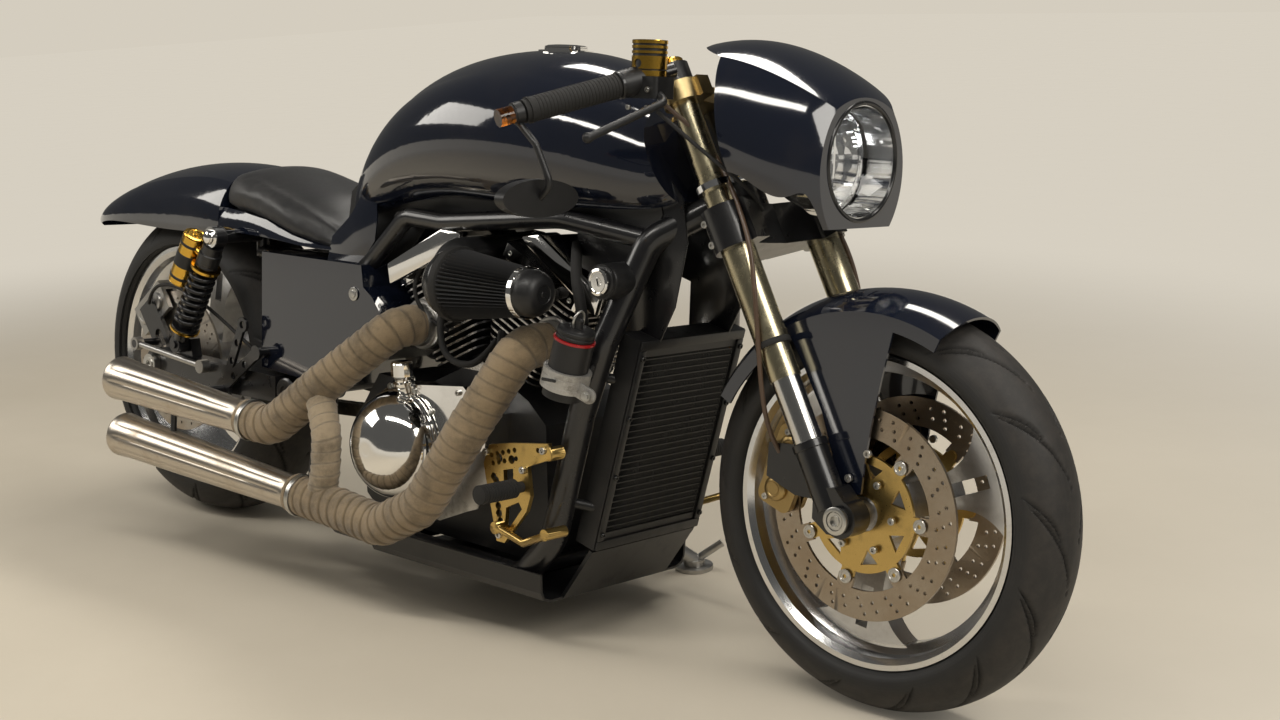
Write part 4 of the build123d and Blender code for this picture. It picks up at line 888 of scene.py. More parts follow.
def drilled_disc(name, node, axle, places, radius_pairs, finish, body, count):
    """Brake disc cut through by rows of two and three small holes."""
    disc = node_copy(node, name)
    holes = []
    for y in places:
        for index in range(count):
            angle = 2 * pi * index / count
            row = radius_pairs[index % len(radius_pairs)]
            for step, radius in enumerate(row):
                turn = angle + step * 0.045
                holes.append(spot((axle[0] + radius * cos(turn), y + 6, axle[1] + radius * sin(turn)),
                                  (0, -1, 0)))
    tool = repeated("drill", turned("drill", ((2.9, 0), (2.9, 12)), 10), holes)
    edit(tool)
    close_edit()
    cut(disc, tool)
    fit(disc, None, finish, body, 25)
    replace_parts(disc, node)
    return disc


drilled_disc("front_discs_drilled", "front_discs", FRONT_AXLE, (-66, 66), ((123, 134, 145), (128, 141)),
             front_disc_steel, "front_wheel",
             32)
drilled_disc("rear_disc_drilled", "rear_disc", REAR_AXLE, (-104,), ((108, 119, 130), (113, 126)),
             rear_disc_steel, "rear_wheel",
             28)

bobbins = []
for side in SIDES:
    for index in range(7):
        turn = 2 * pi * index / 7
        bobbins.append(spot((FRONT_AXLE[0] + 98 * cos(turn), side * 71, FRONT_AXLE[1] + 98 * sin(turn)),
                            (0, side, 0)))
fit(repeated("disc_bobbins",
             turned("bobbin", ((10.4, -0.5), (10.4, 1.2), (9.6, 2.0), (7.6, 2.0), (7.0, 1.0), (5.2, 1.0),
                               (4.8, 1.6), (3.0, 1.6),
                                               (2.7, -0.4), (0.3, -0.4)), 28), bobbins), None, bolt_steel,
    "front_wheel")

# Wrapped headers


def wrapped(name, corners, bends, radius, pitch, finish, seed):
    """Pipe under a spiral of woven tape, each turn lapped over the last."""
    points = bent(corners, bends, 1.8)
    laps = len(points) * 1.8 / pitch

    def phase(along, round_it):
        return (along * laps - round_it + 0.05 * sin(along * 31 + seed) + 0.03 * sin(round_it * 4 * pi + along * 17)) % 1.0

    def reach(along, round_it):
        run = phase(along, round_it)
        rough = 0.35 * sin(along * 173 + seed) * sin(round_it * 10 * pi + along * 40)
        return radius + 0.4 + 2.3 * (1 - run) ** 1.3 * min(1.0, run / 0.09) + rough

    # the lap attribute marks the valley between turns, which the tape finish darkens as painted shade
    piece = pipe(name, points, 48, reach,
                 ("lap", lambda along,
                  round_it: max(0.0, 1 - min(phase(along, round_it), 1 - phase(along, round_it)) / 0.1)))
    layer = piece.data.uv_layers[0]
    layer.name = "tape"
    for loop in layer.data:
        loop.uv = (loop.uv.x * len(points) * 1.8 / 3.2, loop.uv.y * 2 * pi * radius / 3.2)
    return fit(piece, STANCE, finish, "chassis", 80)


UPPER_JOINT, UPPER_OUTLET = Vector((447, -262, 282)), Vector((92, -300, 313))
LOWER_JOINT, LOWER_OUTLET = Vector((593, -262, 170)), Vector((105, -300, 206))
upper_way = (UPPER_OUTLET - UPPER_JOINT).normalized()
lower_way = (LOWER_OUTLET - LOWER_JOINT).normalized()
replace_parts(wrapped("rear_header_wrap",
                    ((737, -98.5, 474), (737, -168, 474), (628, -228, 372), UPPER_JOINT - upper_way * 64,
                                         UPPER_JOINT + upper_way * 6), (44, 60, 60), 33.6, 21, dark_wrap,
                    1.0), "rear_header")
front_wrap = wrapped("front_header_wrap",
                     ((1052, -98.5, 478), (1052, -178, 478), (988, -236, 335), (905, -250, 205),
                      (806, -252, 152),
                                           LOWER_JOINT - lower_way * 96, LOWER_JOINT + lower_way * 6),
                     (44, 60, 60, 60, 60), 33.6, 22, dark_wrap, 2.0)
wrapped("crossover_wrap", ((616, -234, 350), (662, -254, 285), (664, -258, 225), (650, -258, 162)),
        (50, 50), 24, 19, pale_wrap, 3.0)
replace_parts(front_wrap, "front_header")
for name, at, way in (("rear_port_flange", (737, -99, 474), (0, -1, 0)),
                      ("front_port_flange", (1052, -99, 478), (0, -1, 0))):
    fit(turned(name, ((44, 0), (44, 9), (42, 11), (38, 11), (37.6, 22), (36.6, 24), (30, 24)), 40),
        spot(at, way), dull_steel, "chassis")
for name, at, way in (("upper_wrap_clamp", UPPER_JOINT - upper_way * 14, upper_way),
                      ("lower_wrap_clamp", LOWER_JOINT - lower_way * 14, lower_way)):
    fit(turned(name, ((36.8, 0), (37.8, 0.6), (37.8, 8.4), (36.8, 9), (35, 9), (35, 0)), 56, ring=True),
        spot(at, way), bolt_steel, "chassis")

# Fluted tapering mufflers with open tips


def muffler(name, joint, outlet):
    length = (outlet - joint).length
    # distance along, radius and how much of the flutes
    run = ((0.3, 30.2, 0.0), (6, 31.4, 0.0), (14, 31.6, 0.0), (26, 31.0, 0.6), (length * 0.3, 34.2, 1.0),
           (length * 0.6, 37.6, 1.0),
           (length - 34, 40.2, 1.0), (length - 18, 40.8, 0.4), (length - 10, 41.6, 0.0),
           (length - 2, 41.6, 0.0), (length, 40.8, 0.0),
           (length + 0.6, 38.6, 0.0), (length - 1, 36.4, 0.0), (length - 12, 35.6, 0.0),
           (length - 60, 35.2, 0.0), (length - 62, 34, 0.0),
           (length - 62.4, 16, 0.0), (length - 62.4, 1.0, 0.0))

    def place(along, round_it):
        spread = along * (len(run) - 1)
        index = min(int(spread), len(run) - 2)
        mix = spread - index
        (z0, r0, f0), (z1, r1, f1) = run[index], run[index + 1]
        turn = 2 * pi * round_it
        flute = 1.9 * (f0 + (f1 - f0) * mix) * abs(sin(turn * 5)) ** 0.6
        r = r0 + (r1 - r0) * mix - 1.9 * (f0 + (f1 - f0) * mix) + flute
        return (r * cos(turn), r * sin(turn), z0 + (z1 - z0) * mix)

    return fit(skin(name, 4 * (len(run) - 1), 120, place, None, True), spot(joint, outlet - joint),
               muffler_steel, "chassis", 40)


upper_muffler = muffler("upper_muffler", UPPER_JOINT, UPPER_OUTLET)
muffler("lower_muffler", LOWER_JOINT, LOWER_OUTLET)
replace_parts(upper_muffler, "mufflers")
for name, outlet, way in (("upper_tip_soot", UPPER_OUTLET, upper_way),
                          ("lower_tip_soot", LOWER_OUTLET, lower_way)):
    fit(turned(name, ((34.9, -58), (35.0, -14), (34.0, -14), (33.8, -56), (20, -57), (0.4, -57)), 40),
        spot(outlet, way), black_plastic, "chassis")

# Air filter: pleated cone, clamp ring and cap


def pleats(along, round_it):
    wide, narrow, fold = 58.0, 39.0, 3.6
    rise = round_it * 50 % 1.0
    zig = abs(2 * rise - 1) * 2 - 1
    fade = min(1.0, along * 12, (1 - along) * 12)
    r = wide + (narrow - wide) * along - fold * fade + zig * fold * fade
    turn = 2 * pi * round_it
    return (r * cos(turn), r * sin(turn), 154 * along)


filter_cone = fit(skin("filter_pleats", 26, 600, pleats, None, True), spot((932, -200, 568), (154, -2, 2)),
                  pleat_cotton, "chassis", 20)
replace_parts(filter_cone, "air_filter")
fit(turned("filter_flange", ((46, -10), (60, -10), (61.5, -8), (61.5, 0), (60, 3), (56, 5), (40, 5)), 64),
    spot((932, -200, 568), (154, -2, 2)),
    soft_rubber, "chassis")
fit(turned("filter_ring", ((38, 150), (40.6, 150), (41.4, 151), (41.4, 160), (40.6, 161), (36, 161)), 64),
    spot((932, -200, 568), (154, -2, 2)), bright,
    "chassis")
fit(turned("filter_cap",
           ((37, 158), (37.6, 162), (37.4, 170), (35.8, 178), (32.5, 185), (28, 190), (22, 193), (15, 194),
            (14, 192.6), (5, 192.6), (4, 194),
                          (0.5, 194)), 64), spot((932, -200, 568), (154, -2, 2)), black_plastic, "chassis",
    50)
fit(turned("intake_dome",
           ((30, -52), (36, -50), (44, -42), (52, -30), (57, -18), (58.5, -10), (58, -9), (46, -9)), 64),
    spot((932, -200, 568), (154, -2, 2)), black_bolt, "chassis", 60)

# Shocks: chromed rod, coil spring, gold collars and side reservoirs

SHOCK_FOOT, SHOCK_TOP, SHOCK_Y = Vector((110, 0, 370)), Vector((234, 0, 588)), 180.0
shock_way = (SHOCK_TOP - SHOCK_FOOT).normalized()
shock_back = Vector((-shock_way.z, 0, shock_way.x))


def on_shock(side, up, behind=0.0):
    point = SHOCK_FOOT + shock_way * up + shock_back * behind
    return (point.x, side * SHOCK_Y, point.z)


springs = []
for side in SIDES:
    turns, low, high = 8.5, 49.0, 173.0
    count = int(turns * 26)
    coil = []
    for index in range(count + 1):
        share = index / count
        turn = 2 * pi * turns * share
        pinch = min(1.0, share * 6, (1 - share) * 6)
        coil.append(Vector((22.4 * cos(turn), 22.4 * sin(turn),
                            low + (high - low) * (share + 0.02 * (1 - pinch) * (0.5 - share)))))
    spring = pipe("shock_spring", coil, 12, lambda along, round_it: 4.3)
    spring.data.transform(spot(on_shock(side, 0), shock_way))
    springs.append(spring)
spring_pair = fit(joined("shock_springs", springs), None, spring_enamel, "chassis", 60)
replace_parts(spring_pair, "shock_absorbers")
bodies = []
for side in SIDES:
    for stations, finish in ((((13, 12), (14, 14), (14, 34), (16, 36), (16, 40)), 0),
                             (((26.6, 40), (27, 41), (27, 43.4), (26.6, 44), (15, 44.2)), 0),
                             (((14.5, 44), (14.5, 178)), 0),
                             (((19, 184), (22, 185.4), (22, 189), (20.6, 190), (20.6, 194), (22, 195),
                               (22, 214), (19.5, 216),
                                                               (19.5, 232), (14, 234)), 0)):
        tube_piece = turned("shock_body", stations, 40)
        tube_piece.data.transform(spot(on_shock(side, 0), shock_way))
        bodies.append(tube_piece)
    for at, radius in ((SHOCK_FOOT, 17), (SHOCK_TOP, 20)):
        eye = turned("eye", ((radius - 1, -12), (radius, -11), (radius, 11), (radius - 1, 12), (9, 12)), 36)
        eye.data.transform(spot((at.x, side * SHOCK_Y, at.z), (0, side, 0)))
        bodies.append(eye)
fit(joined("shock_bodies", bodies), None, black_frame, "chassis")
bands = []
for side in SIDES:
    for low, high in ((122, 128), (196, 202), (150, 178)):
        bands.append((side, low, high))
reservoir_bands = []
for side, low, high in bands:
    band = turned("band",
                  ((24.1, low), (24.7, low + 0.5), (24.7, high - 0.5), (24.1, high), (23, high), (23, low)),
                  48, ring=True)
    band.data.transform(spot(on_shock(side, 0, 56), shock_way))
    reservoir_bands.append(band)
fit(joined("reservoir_bands", reservoir_bands), None, black_plastic, "chassis")
caps = [spot(on_shock(side, up, 56), way) for side in SIDES for up,
        way in ((216, shock_way), (112, -shock_way))]
fit(repeated("reservoir_caps",
             turned("cap", ((22.5, -0.5), (23.4, 1), (22.6, 2.4), (17, 3), (16, 1.8), (7, 1.8), (6, 3.4),
                            (2.6, 3.4), (2.2, 2.2), (0.3, 2.2)), 40),
             caps), None, bright_gold, "chassis")
fit(repeated("shock_bolts",
             turned("dome", ((20, 12), (20, 13.5), (14, 13.5), (14, 18), (12.6, 21), (9, 23.4), (4.5, 24.5),
                             (0.5, 24.8)), 40),
             [spot((SHOCK_TOP.x, side * SHOCK_Y, SHOCK_TOP.z), (0, side, 0)) for side in SIDES]), None,
    bright, "chassis")

# Seat: a padded leather cushion

seat = node_copy("seat_pad", "seat_cushion")
finish_with(seat, "REMESH", mode="VOXEL", voxel_size=0.006)
swell = seat.modifiers.new("Cloth", "CLOTH")
swell.settings.use_pressure = True
swell.settings.uniform_pressure_force = 4
swell.settings.effector_weights.gravity = 0
flat = [vertex.co.copy() for vertex in seat.data.vertices]
for number in range(1, 13):
    bpy.context.scene.frame_set(number)
clear()
seat.select_set(True)
bpy.context.view_layer.objects.active = seat
ops.object.modifier_apply(modifier="Cloth")
for vertex, was in zip(seat.data.vertices, flat):
    moved = vertex.co - was
    if moved.length > 0.006:
        vertex.co = was + moved * (0.006 / moved.length)
bpy.context.scene.frame_set(1)
finish_with(seat, "SMOOTH", iterations=6, factor=0.5)
finish_with(seat, "SUBSURF", levels=1)
fit(seat, None, seat_leather, "chassis", 60)
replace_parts(seat, "seat_pad")

# Body: dark inner panels that close the space between tank, frame and side body

for side in SIDES:
    fit(plate("tank_skirt",
              ((500, 560), (655, 568), (720, 636), (810, 640), (960, 672), (1080, 668), (1236, 640),
               (1262, 700), (1240, 790), (900, 800),
                             (640, 780), (520, 690)), 3), spot((0, side * 86, 0), (0, -1, 0)),
        black_plastic, "chassis")
    fit(plate("seat_side_panel",
              ((496, 566), (590, 566), (628, 610), (634, 650), (630, 700), (600, 700), (560, 650),
               (510, 610)), 3, 1),
        spot((0, side * 122, 0), (0, -1, 0)), body_paint, "chassis")

for side in SIDES:
    fit(plate("neck_shroud",
              ((1180, 500), (1262, 500), (1292, 560), (1312, 660), (1300, 726), (1240, 790), (1190, 720),
               (1080, 700), (1084, 606), (1180, 580)), 3, 1),
        spot((0, side * 84, 0), (0, -1, 0)), black_frame, "chassis")
heat_sheet = plate("heat_sheet",
                   ((938, 296), (1024, 305), (1030, 299), (1000, 250), (978, 204), (955, 196), (887, 168),
                    (872, 170), (854, 188)), 2.4, 0.6)
fit(heat_sheet, spot((0, -193, 0), (0, -1, 0)), raw_plate, "chassis")
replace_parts(heat_sheet, "heat_plate")

# Grips, switches, levers and the piston that serves as the right reservoir


def on_bar(side, share, lift=0.0):
    inner, outer = Vector((1304, side * 124, 916)), Vector((1216, side * 365, 846))
    point = inner.lerp(outer, share)
    return (point.x, point.y, point.z + lift)


for side in SIDES:
    bar_way = Vector(on_bar(side, 1)) - Vector(on_bar(side, 0))
    ribs = [(17.0, 0.0), (18.6, 0.6), (18.6, 3.0)]
    at = 3.0
    while at < 136:
        ribs += [(17.6, at + 0.6), (17.6, at + 1.6), (18.4, at + 2.2), (18.4, at + 5.2)]
        at += 5.6
    ribs += [(18.4, at + 3), (19.4, at + 3.4), (19.4, at + 7), (12, at + 7.2)]
    fit(turned("ribbed_grip", ribs, 40), spot(on_bar(side, 0.37), bar_way), soft_rubber, "steering",
        30)
    fit(turned("bar_collar", ((19.5, 0), (20.6, 1), (20.6, 8), (19.5, 9), (11, 9)), 36),
        spot(on_bar(side, 0.325), bar_way), black_frame,
        "steering")
    fit(turned("bar_end_seat", ((11, 0), (14.6, 0), (14.6, 5), (13.6, 6), (10, 6)), 32),
        spot(on_bar(side, 0.985), bar_way), black_plastic, "steering")
    fit(turned("lever_tip", ((0.5, -8), (4, -7.4), (7, -4.6), (8, 0), (7, 4.6), (4, 7.4), (0.5, 8)), 24),
        spot((1324, side * 324, 818), bar_way),
        black_plastic, "steering", 80)
    glass = plate("mirror_face",
                  [(71 * cos(turn / 24 * pi), 24 * sin(turn / 24 * pi)) for turn in range(48)], 0.8)
    fit(glass, spot((1243.4, side * 350, 730), (-1, 0, 0), (0, 1, 0)), mirror_face, "steering")
    rows = []
    for dx, dz in ((-18, 13), (18, 13), (-18, -13), (18, -13)):
        rows.append(((1296 + dx, side * 168 - 22.5, 874 + dz), (0, -1, 0)))
    bolts("master_bolts", socket_bolt, 4, bolt_steel, "steering", rows)
piston = turned("piston_reservoir",
                ((25.6, 0), (26.4, 1), (26.4, 9), (24.6, 9.4), (24.6, 11), (26.4, 11.4), (26.4, 30),
                 (24.2, 30.4), (24.2, 33.4), (26.4, 33.8),
                                     (26.4, 37.4), (24.2, 37.8), (24.2, 40.8), (26.4, 41.2), (26.4, 45),
                 (24.2, 45.4), (24.2, 47.6), (26.4, 48), (26.4, 52.4),
                                     (25.6, 53.2), (20, 53.6), (19, 52.6), (0.5, 52.4)), 56)
pin_hole = turned("pin_hole", ((6.5, -40), (6.5, 40)), 28)
pin_hole.data.transform(Matrix.Translation((0, 0, 19 * MM)) @ Matrix.Rotation(radians(90), 4, "X"))
cut(piston, pin_hole)
fit(piston, spot((1290, -162, 905.4), (0, 0, 1)), bright_gold, "steering", 30)
fit(turned("piston_pin", ((6.2, -18), (6.2, 18)), 24), spot((1290, -162, 924.4), (0, 1, 0)), black_bolt,
    "steering")

# Radiator: fine fins, a frame with a seam and a mounting tab

RADIATOR_LEAN = radians(13.9)
radiator_up = (sin(RADIATOR_LEAN), 0, cos(RADIATOR_LEAN))
radiator_out = (cos(RADIATOR_LEAN), 0, -sin(RADIATOR_LEAN))


def on_radiator(across, up, out):
    return (1218 + up * radiator_up[0] + out * radiator_out[0], across,
            335 + up * radiator_up[2] + out * radiator_out[2])


def radiator_fins(along, round_it):
    row = round(round_it * 224)
    return ((round_it - 0.5) * 224, (along - 0.5) * 318, (0.8, 3.0, 0.8, -2.4)[row % 4])


fit(skin("radiator_fins", 2, 224, radiator_fins), spot(on_radiator(0, 0, -4), radiator_out, (0, 1, 0)),
    black_bolt, "chassis", 0)
tubes = [spot(on_radiator(0, -152 + 11 * row, -1.4), (0, 1, 0), radiator_up) for row in range(28)]
fit(repeated("radiator_tubes", plate("tube", ((-1, -1), (1, -1), (1, 0.6), (-1, 0.6)), 224),
             [place @ Matrix.Translation((0, 0, -112 * MM)) for place in tubes]),
    None, black_plastic, "chassis", 0)
for low, high, left, right in ((-178, -162, -126, 126), (162, 178, -126, 126), (-162, 162, -126, -112),
                               (-162, 162, 112, 126)):
    fit(plate("radiator_edge", ((left, low), (right, low), (right, high), (left, high)), 4.4, 1.6),
        spot(on_radiator(0, 0, -0.4), radiator_out, (0, 1, 0)),
        black_plastic, "chassis")
bolts("radiator_bolts", socket_bolt, 4.5, black_bolt, "chassis",
      [(on_radiator(across, up, 3.6), radiator_out) for across in (-119, 119) for up in (-150, -50, 50,
          150)])

# Canister, lock, filler and heat plate

canister_way = (28, 0, 106)


def on_canister(up, out=0.0):
    point = Vector((1188, -222, 424)) + Vector(canister_way).normalized() * up
    return (point.x, point.y - out, point.z)


fit(turned("canister_red_ring", ((31, 0), (32.4, 0.4), (32.4, 3.6), (31, 4), (28, 4), (28, 0)), 48,
           ring=True), spot(on_canister(90), canister_way), red_ring,
    "chassis")
fit(turned("canister_cap",
           ((29, 0), (29.6, 1), (29.6, 5), (28.4, 6), (28.4, 8), (29.6, 9), (29.6, 13), (27, 15.6),
            (20, 17), (9, 17), (8, 24), (5, 25), (0.5, 25)), 48),
    spot(on_canister(94.2), canister_way), black_plastic, "chassis", 40)
ring_points = [Vector((11 * cos(pi * index / 12), 0, 15 * sin(pi * index / 12))) for index in range(-3, 16)]
fit(pipe("canister_ring", ring_points, 10, lambda along, round_it: 1.9),
    spot(on_canister(122), canister_way, (0, 1, 0)), bolt_steel, "chassis", 60)
fit(turned("clamp_band",
           ((36.2, 0), (37.4, 0.5), (37.4, 7), (36.7, 7.4), (36.7, 9), (37.4, 9.4), (37.4, 21),
            (36.7, 21.4), (36.7, 23), (37.4, 23.4), (37.4, 31),
                          (36.2, 31.5), (35, 31.5), (35, 0)), 56, ring=True),
    spot(on_canister(14.2), canister_way), raw_plate, "chassis")
fit(plate("clamp_slot", ((-14, -2.4), (14, -2.4), (15.4, 0), (14, 2.4), (-14, 2.4), (-15.4, 0)), 0.8),
    spot(on_canister(30, 37.0), (0, -1, 0.01)), black_bolt, "chassis")
clamp_tab = [(20 * cos(radians(angle)) * 0.6 + 22, 12 * sin(radians(angle))) for angle in range(-90, 91,
    15)] + [(0, 12), (0, -12)]
fit(plate("clamp_tab", clamp_tab, 5, 1), spot((1226, -226, 440), (0.2, -1, 0), (1, 0, -0.4)), raw_plate,
    "chassis")
bolts("clamp_bolt", hex_bolt, 6, bolt_steel, "chassis",
      [((1247, -231.5, 432), (0.2, -1, 0))])

fit(turned("lock_face",
           ((20.6, 0), (20.6, 2), (17, 3.4), (15.6, 3), (15.4, 1.4), (7, 1.4), (6.6, 2.2), (0.4, 2.2)), 48),
    spot((1220, -182.5, 598), (0, -1, 0)), bright,
    "chassis", 30)
fit(plate("key_slot", ((-1.1, -5.5), (1.1, -5.5), (1.1, 5.5), (-1.1, 5.5)), 0.4),
    spot((1220, -184.9, 598), (0, -1, 0), (1, 0, 0.3)), black_bolt, "chassis")
fit(turned("lock_body", ((27.4, -60), (28, -58), (28, -10), (27, -6), (24, -2), (21, 0), (20, 0)), 48),
    spot((1220, -178.4, 598), (0, -1, 0)), black_plastic, "chassis",
    40)
filler_way = Vector((0, -24, 63))
filler_foot = Vector((764, -150, 330))
stack = [(14.4, 22)]
for start, size in ((24, 17), (34, 18.6), (45, 17), (55, 19.4)):
    stack += [(14.8, start), (size, start + 1), (size, start + 5), (14.8, start + 7)]
stack += [(15, 66)]
fit(turned("filler_rings", stack, 40), spot(filler_foot, filler_way), bright, "chassis",
    40)
fit(turned("filler_cap", ((18.4, 0), (19.4, 1), (19.4, 22), (18, 24), (12, 25.4), (5, 25.6), (0.5, 25.6)),
           12), spot((764, -174, 393.5), (0, -2, 24)), bright, "chassis",
    25)

# Rearsets: truss holes through the plates, and bolts

plates = node_copy("rearsets", "rearsets_drilled")
drills = []
DRILL_REACH = 215
small = ((1018, 302), (1031, 306), (1044, 310), (1057, 314), (1070, 318), (1022, 289), (1035, 293),
         (1048, 297), (1061, 301), (1074, 305), (1122, 326))
large = ((1024, 268), (1030, 246), (1036, 222), (1042, 198))
for size, spots in ((4.2, small), (6.4, large)):
    drills.append(repeated("drill", turned("drill", ((size, -DRILL_REACH), (size, DRILL_REACH)), 16),
                           [spot((x, 0, z), (0, -1, 0)) for x, z in spots]))
windows = []
for outline in (((1046, 282), (1068, 288), (1070, 244), (1050, 236)),
                ((1054, 222), (1082, 236), (1090, 226), (1062, 190), (1052, 192))):
    windows.append(plate("window", outline, 2 * DRILL_REACH))
window = joined("windows", windows)
window.data.transform(spot((0, DRILL_REACH, 0), (0, -1, 0)))
tool = joined("drills", drills + [window])
cut(plates, tool)
fit(plates, None, gold, "chassis", 25)
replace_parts(plates, "rearsets")
for side in SIDES:
    bolts("rearset_bolts", socket_bolt, 6, bolt_steel, "chassis",
          [((x, side * 204.5, z), (0, side, 0)) for x,
           z in ((1008, 306), (1136, 328), (1042, 176), (1092, 290))])
    ribbed = [(11, 0)]
    for start in range(0, 66, 6):
        ribbed += [(15.4, start + 1), (15.4, start + 3.6), (14.2, start + 4.2), (14.2, start + 5.6)]
    ribbed += [(15.4, 68), (15.4, 74), (12, 75.5), (0.5, 75.5)]
    fit(turned("peg_rubber", ribbed, 32), spot((1088, side * 221, 262), (0, side, 0)), soft_rubber,
        "chassis", 25)

# Fork: seals, clamp bolts, axle ends and the calipers' lobes and bolts

for side in SIDES:
    fit(turned("fork_seal", ((22, 0), (26.6, 0), (27.2, 1), (27.2, 7), (26, 9), (24, 10)), 48),
        spot(on_leg(side, 258), LEG_WAY), soft_rubber, "steering")
    fit(turned("foot_collar", ((24.6, 0), (26, 1), (26, 11), (24.6, 12), (23, 12)), 48),
        spot(on_leg(side, 100), LEG_WAY), black_frame, "steering")
    fit(turned("fork_top_cap",
               ((19.8, 0), (19.8, 5), (17.6, 7.4), (10, 8), (9.6, 6), (6, 6), (5.6, 13), (0.4, 13)), 40),
        spot(on_leg(side, 708), LEG_WAY), bright_gold,
        "steering", 30)
    bolts("clamp_pinch_bolts", socket_bolt, 5.5, bolt_steel, "steering",
          [(on_leg(side, up, ahead, 24), (0, side, 0)) for up, ahead in ((428, -22), (461, -22))] +
          [(on_leg(side, 660, -22, 22), (0, side, 0))])
    fit(turned("axle_end",
               ((19, 0), (20, 1), (20, 5), (18, 6), (14, 6), (13, 3), (8.6, 3), (8.2, 6.4), (7.2, 6.4),
                (6.8, 1), (0.4, 1)), 40),
        spot((FRONT_AXLE[0], side * 131, FRONT_AXLE[1]), (0, side, 0)), bolt_steel, "steering",
        30)
    angle = radians(160)
    caliper = Vector((FRONT_AXLE[0] + 136 * cos(angle), 0, FRONT_AXLE[1] + 136 * sin(angle)))
    radial = Vector((cos(angle), 0, sin(angle)))
    tangent = Vector((-radial.z, 0, radial.x))
    lobes, heads = [], []
    for step in (-34, 0, 34):
        at = caliper + tangent * step + radial * 2
        lobes.append(spot((at.x, side * 84.6, at.z), (0, side, 0)))
    for step in (-54, -17, 17, 54):
        at = caliper + tangent * step + radial * 14
        heads.append(((at.x, side * 86, at.z), (0, side, 0)))
    fit(repeated("caliper_lobes",
                 turned("lobe", ((19, -1), (19, 4), (17, 7), (12, 8.6), (11, 7.6), (9.4, 7.6), (9, 8.4),
                                 (0.4, 8.4)), 36), lobes), None, bronze, "steering",
        40)
    bolts("caliper_bolts", socket_bolt, 5, bolt_steel, "steering", heads)
    bolts("fender_bolts", socket_bolt, 6, bolt_steel, "steering",
          [((x, side * 82.4, z), (0, side, 0)) for x, z in ((1655, 392), (1625, 352))])
CARRIER_BOLTS = 6
CARRIER_CIRCLE = 54
for side in SIDES:
    turns = [2 * pi * index / CARRIER_BOLTS for index in range(CARRIER_BOLTS)]
    nuts = [((FRONT_AXLE[0] + CARRIER_CIRCLE * cos(turn), side * 72.6,
              FRONT_AXLE[1] + CARRIER_CIRCLE * sin(turn)),
             (0, side, 0)) for turn in turns]
    bolts("carrier_bolts", socket_bolt, 5.5, bolt_steel, "front_wheel", nuts)

# Headlamp: stepped reflector, bulb shield and black rim


def lamp_dish(along, round_it):
    turn = 2 * pi * round_it
    reach = 6 + 69.6 * along
    deep = 71 * (1 - (reach / 77) ** 2)
    step = 2.0 * ((along * 5) % 1.0) * (1 if abs(sin(turn)) < 0.8 else 0.3) + 1.3 * abs(sin(turn * 9)) * along
    return (reach * cos(turn), reach * sin(turn), -deep - step)


fit(skin("lamp_reflector", 40, 144, lamp_dish), spot((1500, 0, 794), (1, 0, 0), (0, 1, 0)), reflector,
    "steering", 25)
fit(turned("bulb_shield", ((4, -66), (13, -60), (15, -40), (15, -24), (13, -20), (6, -18), (0.5, -18)), 32),
    spot((1500, 0, 794), (1, 0, 0)), reflector, "steering",
    40)
fit(turned("lamp_rim",
           ((84.6, -5), (87.6, -2), (88.2, 1), (87, 3.6), (84, 4.6), (81.4, 3), (80.8, -4), (82.6, -7)), 96,
           ring=True),
    spot((1561, 0, 794), (1, 0, 0)), black_bolt, "steering", 60)
fit(plate("lamp_band", ((-2, -70), (2, -70), (2, 70), (-2, 70)), 2),
    spot((1502, 0, 794), (1, 0, 0), (0, 1, 0)), reflector, "steering")

# Engine: rocker cover facets and bolts, rings of case bolts, side-panel lock


def on_vee(side, up, along=0.0, out=0.0):
    """A point up a cylinder, side 1 for the front one, along across its fins and out to the rider's left."""
    return (CRANK[0] + side * up * sin(VEE) + along * cos(VEE), out,
            CRANK[1] + up * cos(VEE) - side * along * sin(VEE))


for side in SIDES:
    way = (side * sin(VEE), 0, cos(VEE))
    ahead = (cos(VEE), 0, -side * sin(VEE))
    for out in SIDES:
        rows = [(on_vee(side, 311, along, out * 96.5), (0, out, 0)) for along in (-76, -26, 26, 76)]
        bolts("cover_bolts", socket_bolt, 4.6, bolt_steel, "chassis", rows)
        fit(plate("cover_slot", ((-52, -3.2), (52, -3.2), (52, 3.2), (-52, 3.2)), 1.2, 0.4),
            spot(on_vee(side, 337, 0, out * 76), (0, out, 0.85), ahead), black_bolt,
            "chassis")
    fit(turned("plug_cap",
               ((7, -12), (7.6, -10), (7.6, 14), (9.4, 16), (9.4, 26), (7, 30), (3, 31), (0.4, 31)), 24),
        spot(on_vee(side, 300, 44 * side, -92), (0.35 * side, -1, 0.3)),
        soft_rubber, "chassis", 40)
rear_facet = ((680, 576), (817, 646), (862, 644), (867, 627), (840, 610), (688, 540))
fit(plate("rear_head_facet", rear_facet, 14, 4), spot((0, -128, 0), (0, -1, 0)), bright, "chassis")
front_facet = ((986, 646), (1027, 653), (1166, 567), (1155, 532), (1130, 545), (1051, 600), (1000, 632))
fit(plate("front_head_facet", front_facet, 12, 4), spot((0, -108, 0), (0, -1, 0)), bright, "chassis")
fit(plate("wire_connector", ((975, 652), (1004, 658), (1002, 672), (973, 666)), 16, 2),
    spot((0, -104, 0), (0, -1, 0)), raw_plate, "chassis")
fit(turned("panel_lock",
           ((11, 0), (12, 0.6), (12, 1.6), (10, 2.2), (7, 1.8), (6.6, 3), (5.6, 3.4), (0.4, 3.4)), 32),
    spot((604, -151, 516), (0, -1, 0)), bolt_steel, "chassis")
fit(turned("cover_rim", ((94.4, 0), (97.6, 0.4), (98.4, 2), (98.4, 7), (97, 9), (94.4, 9.6)), 96,
           ring=True), spot((748, -160.2, 270), (0, -1, 0)), bright, "chassis")
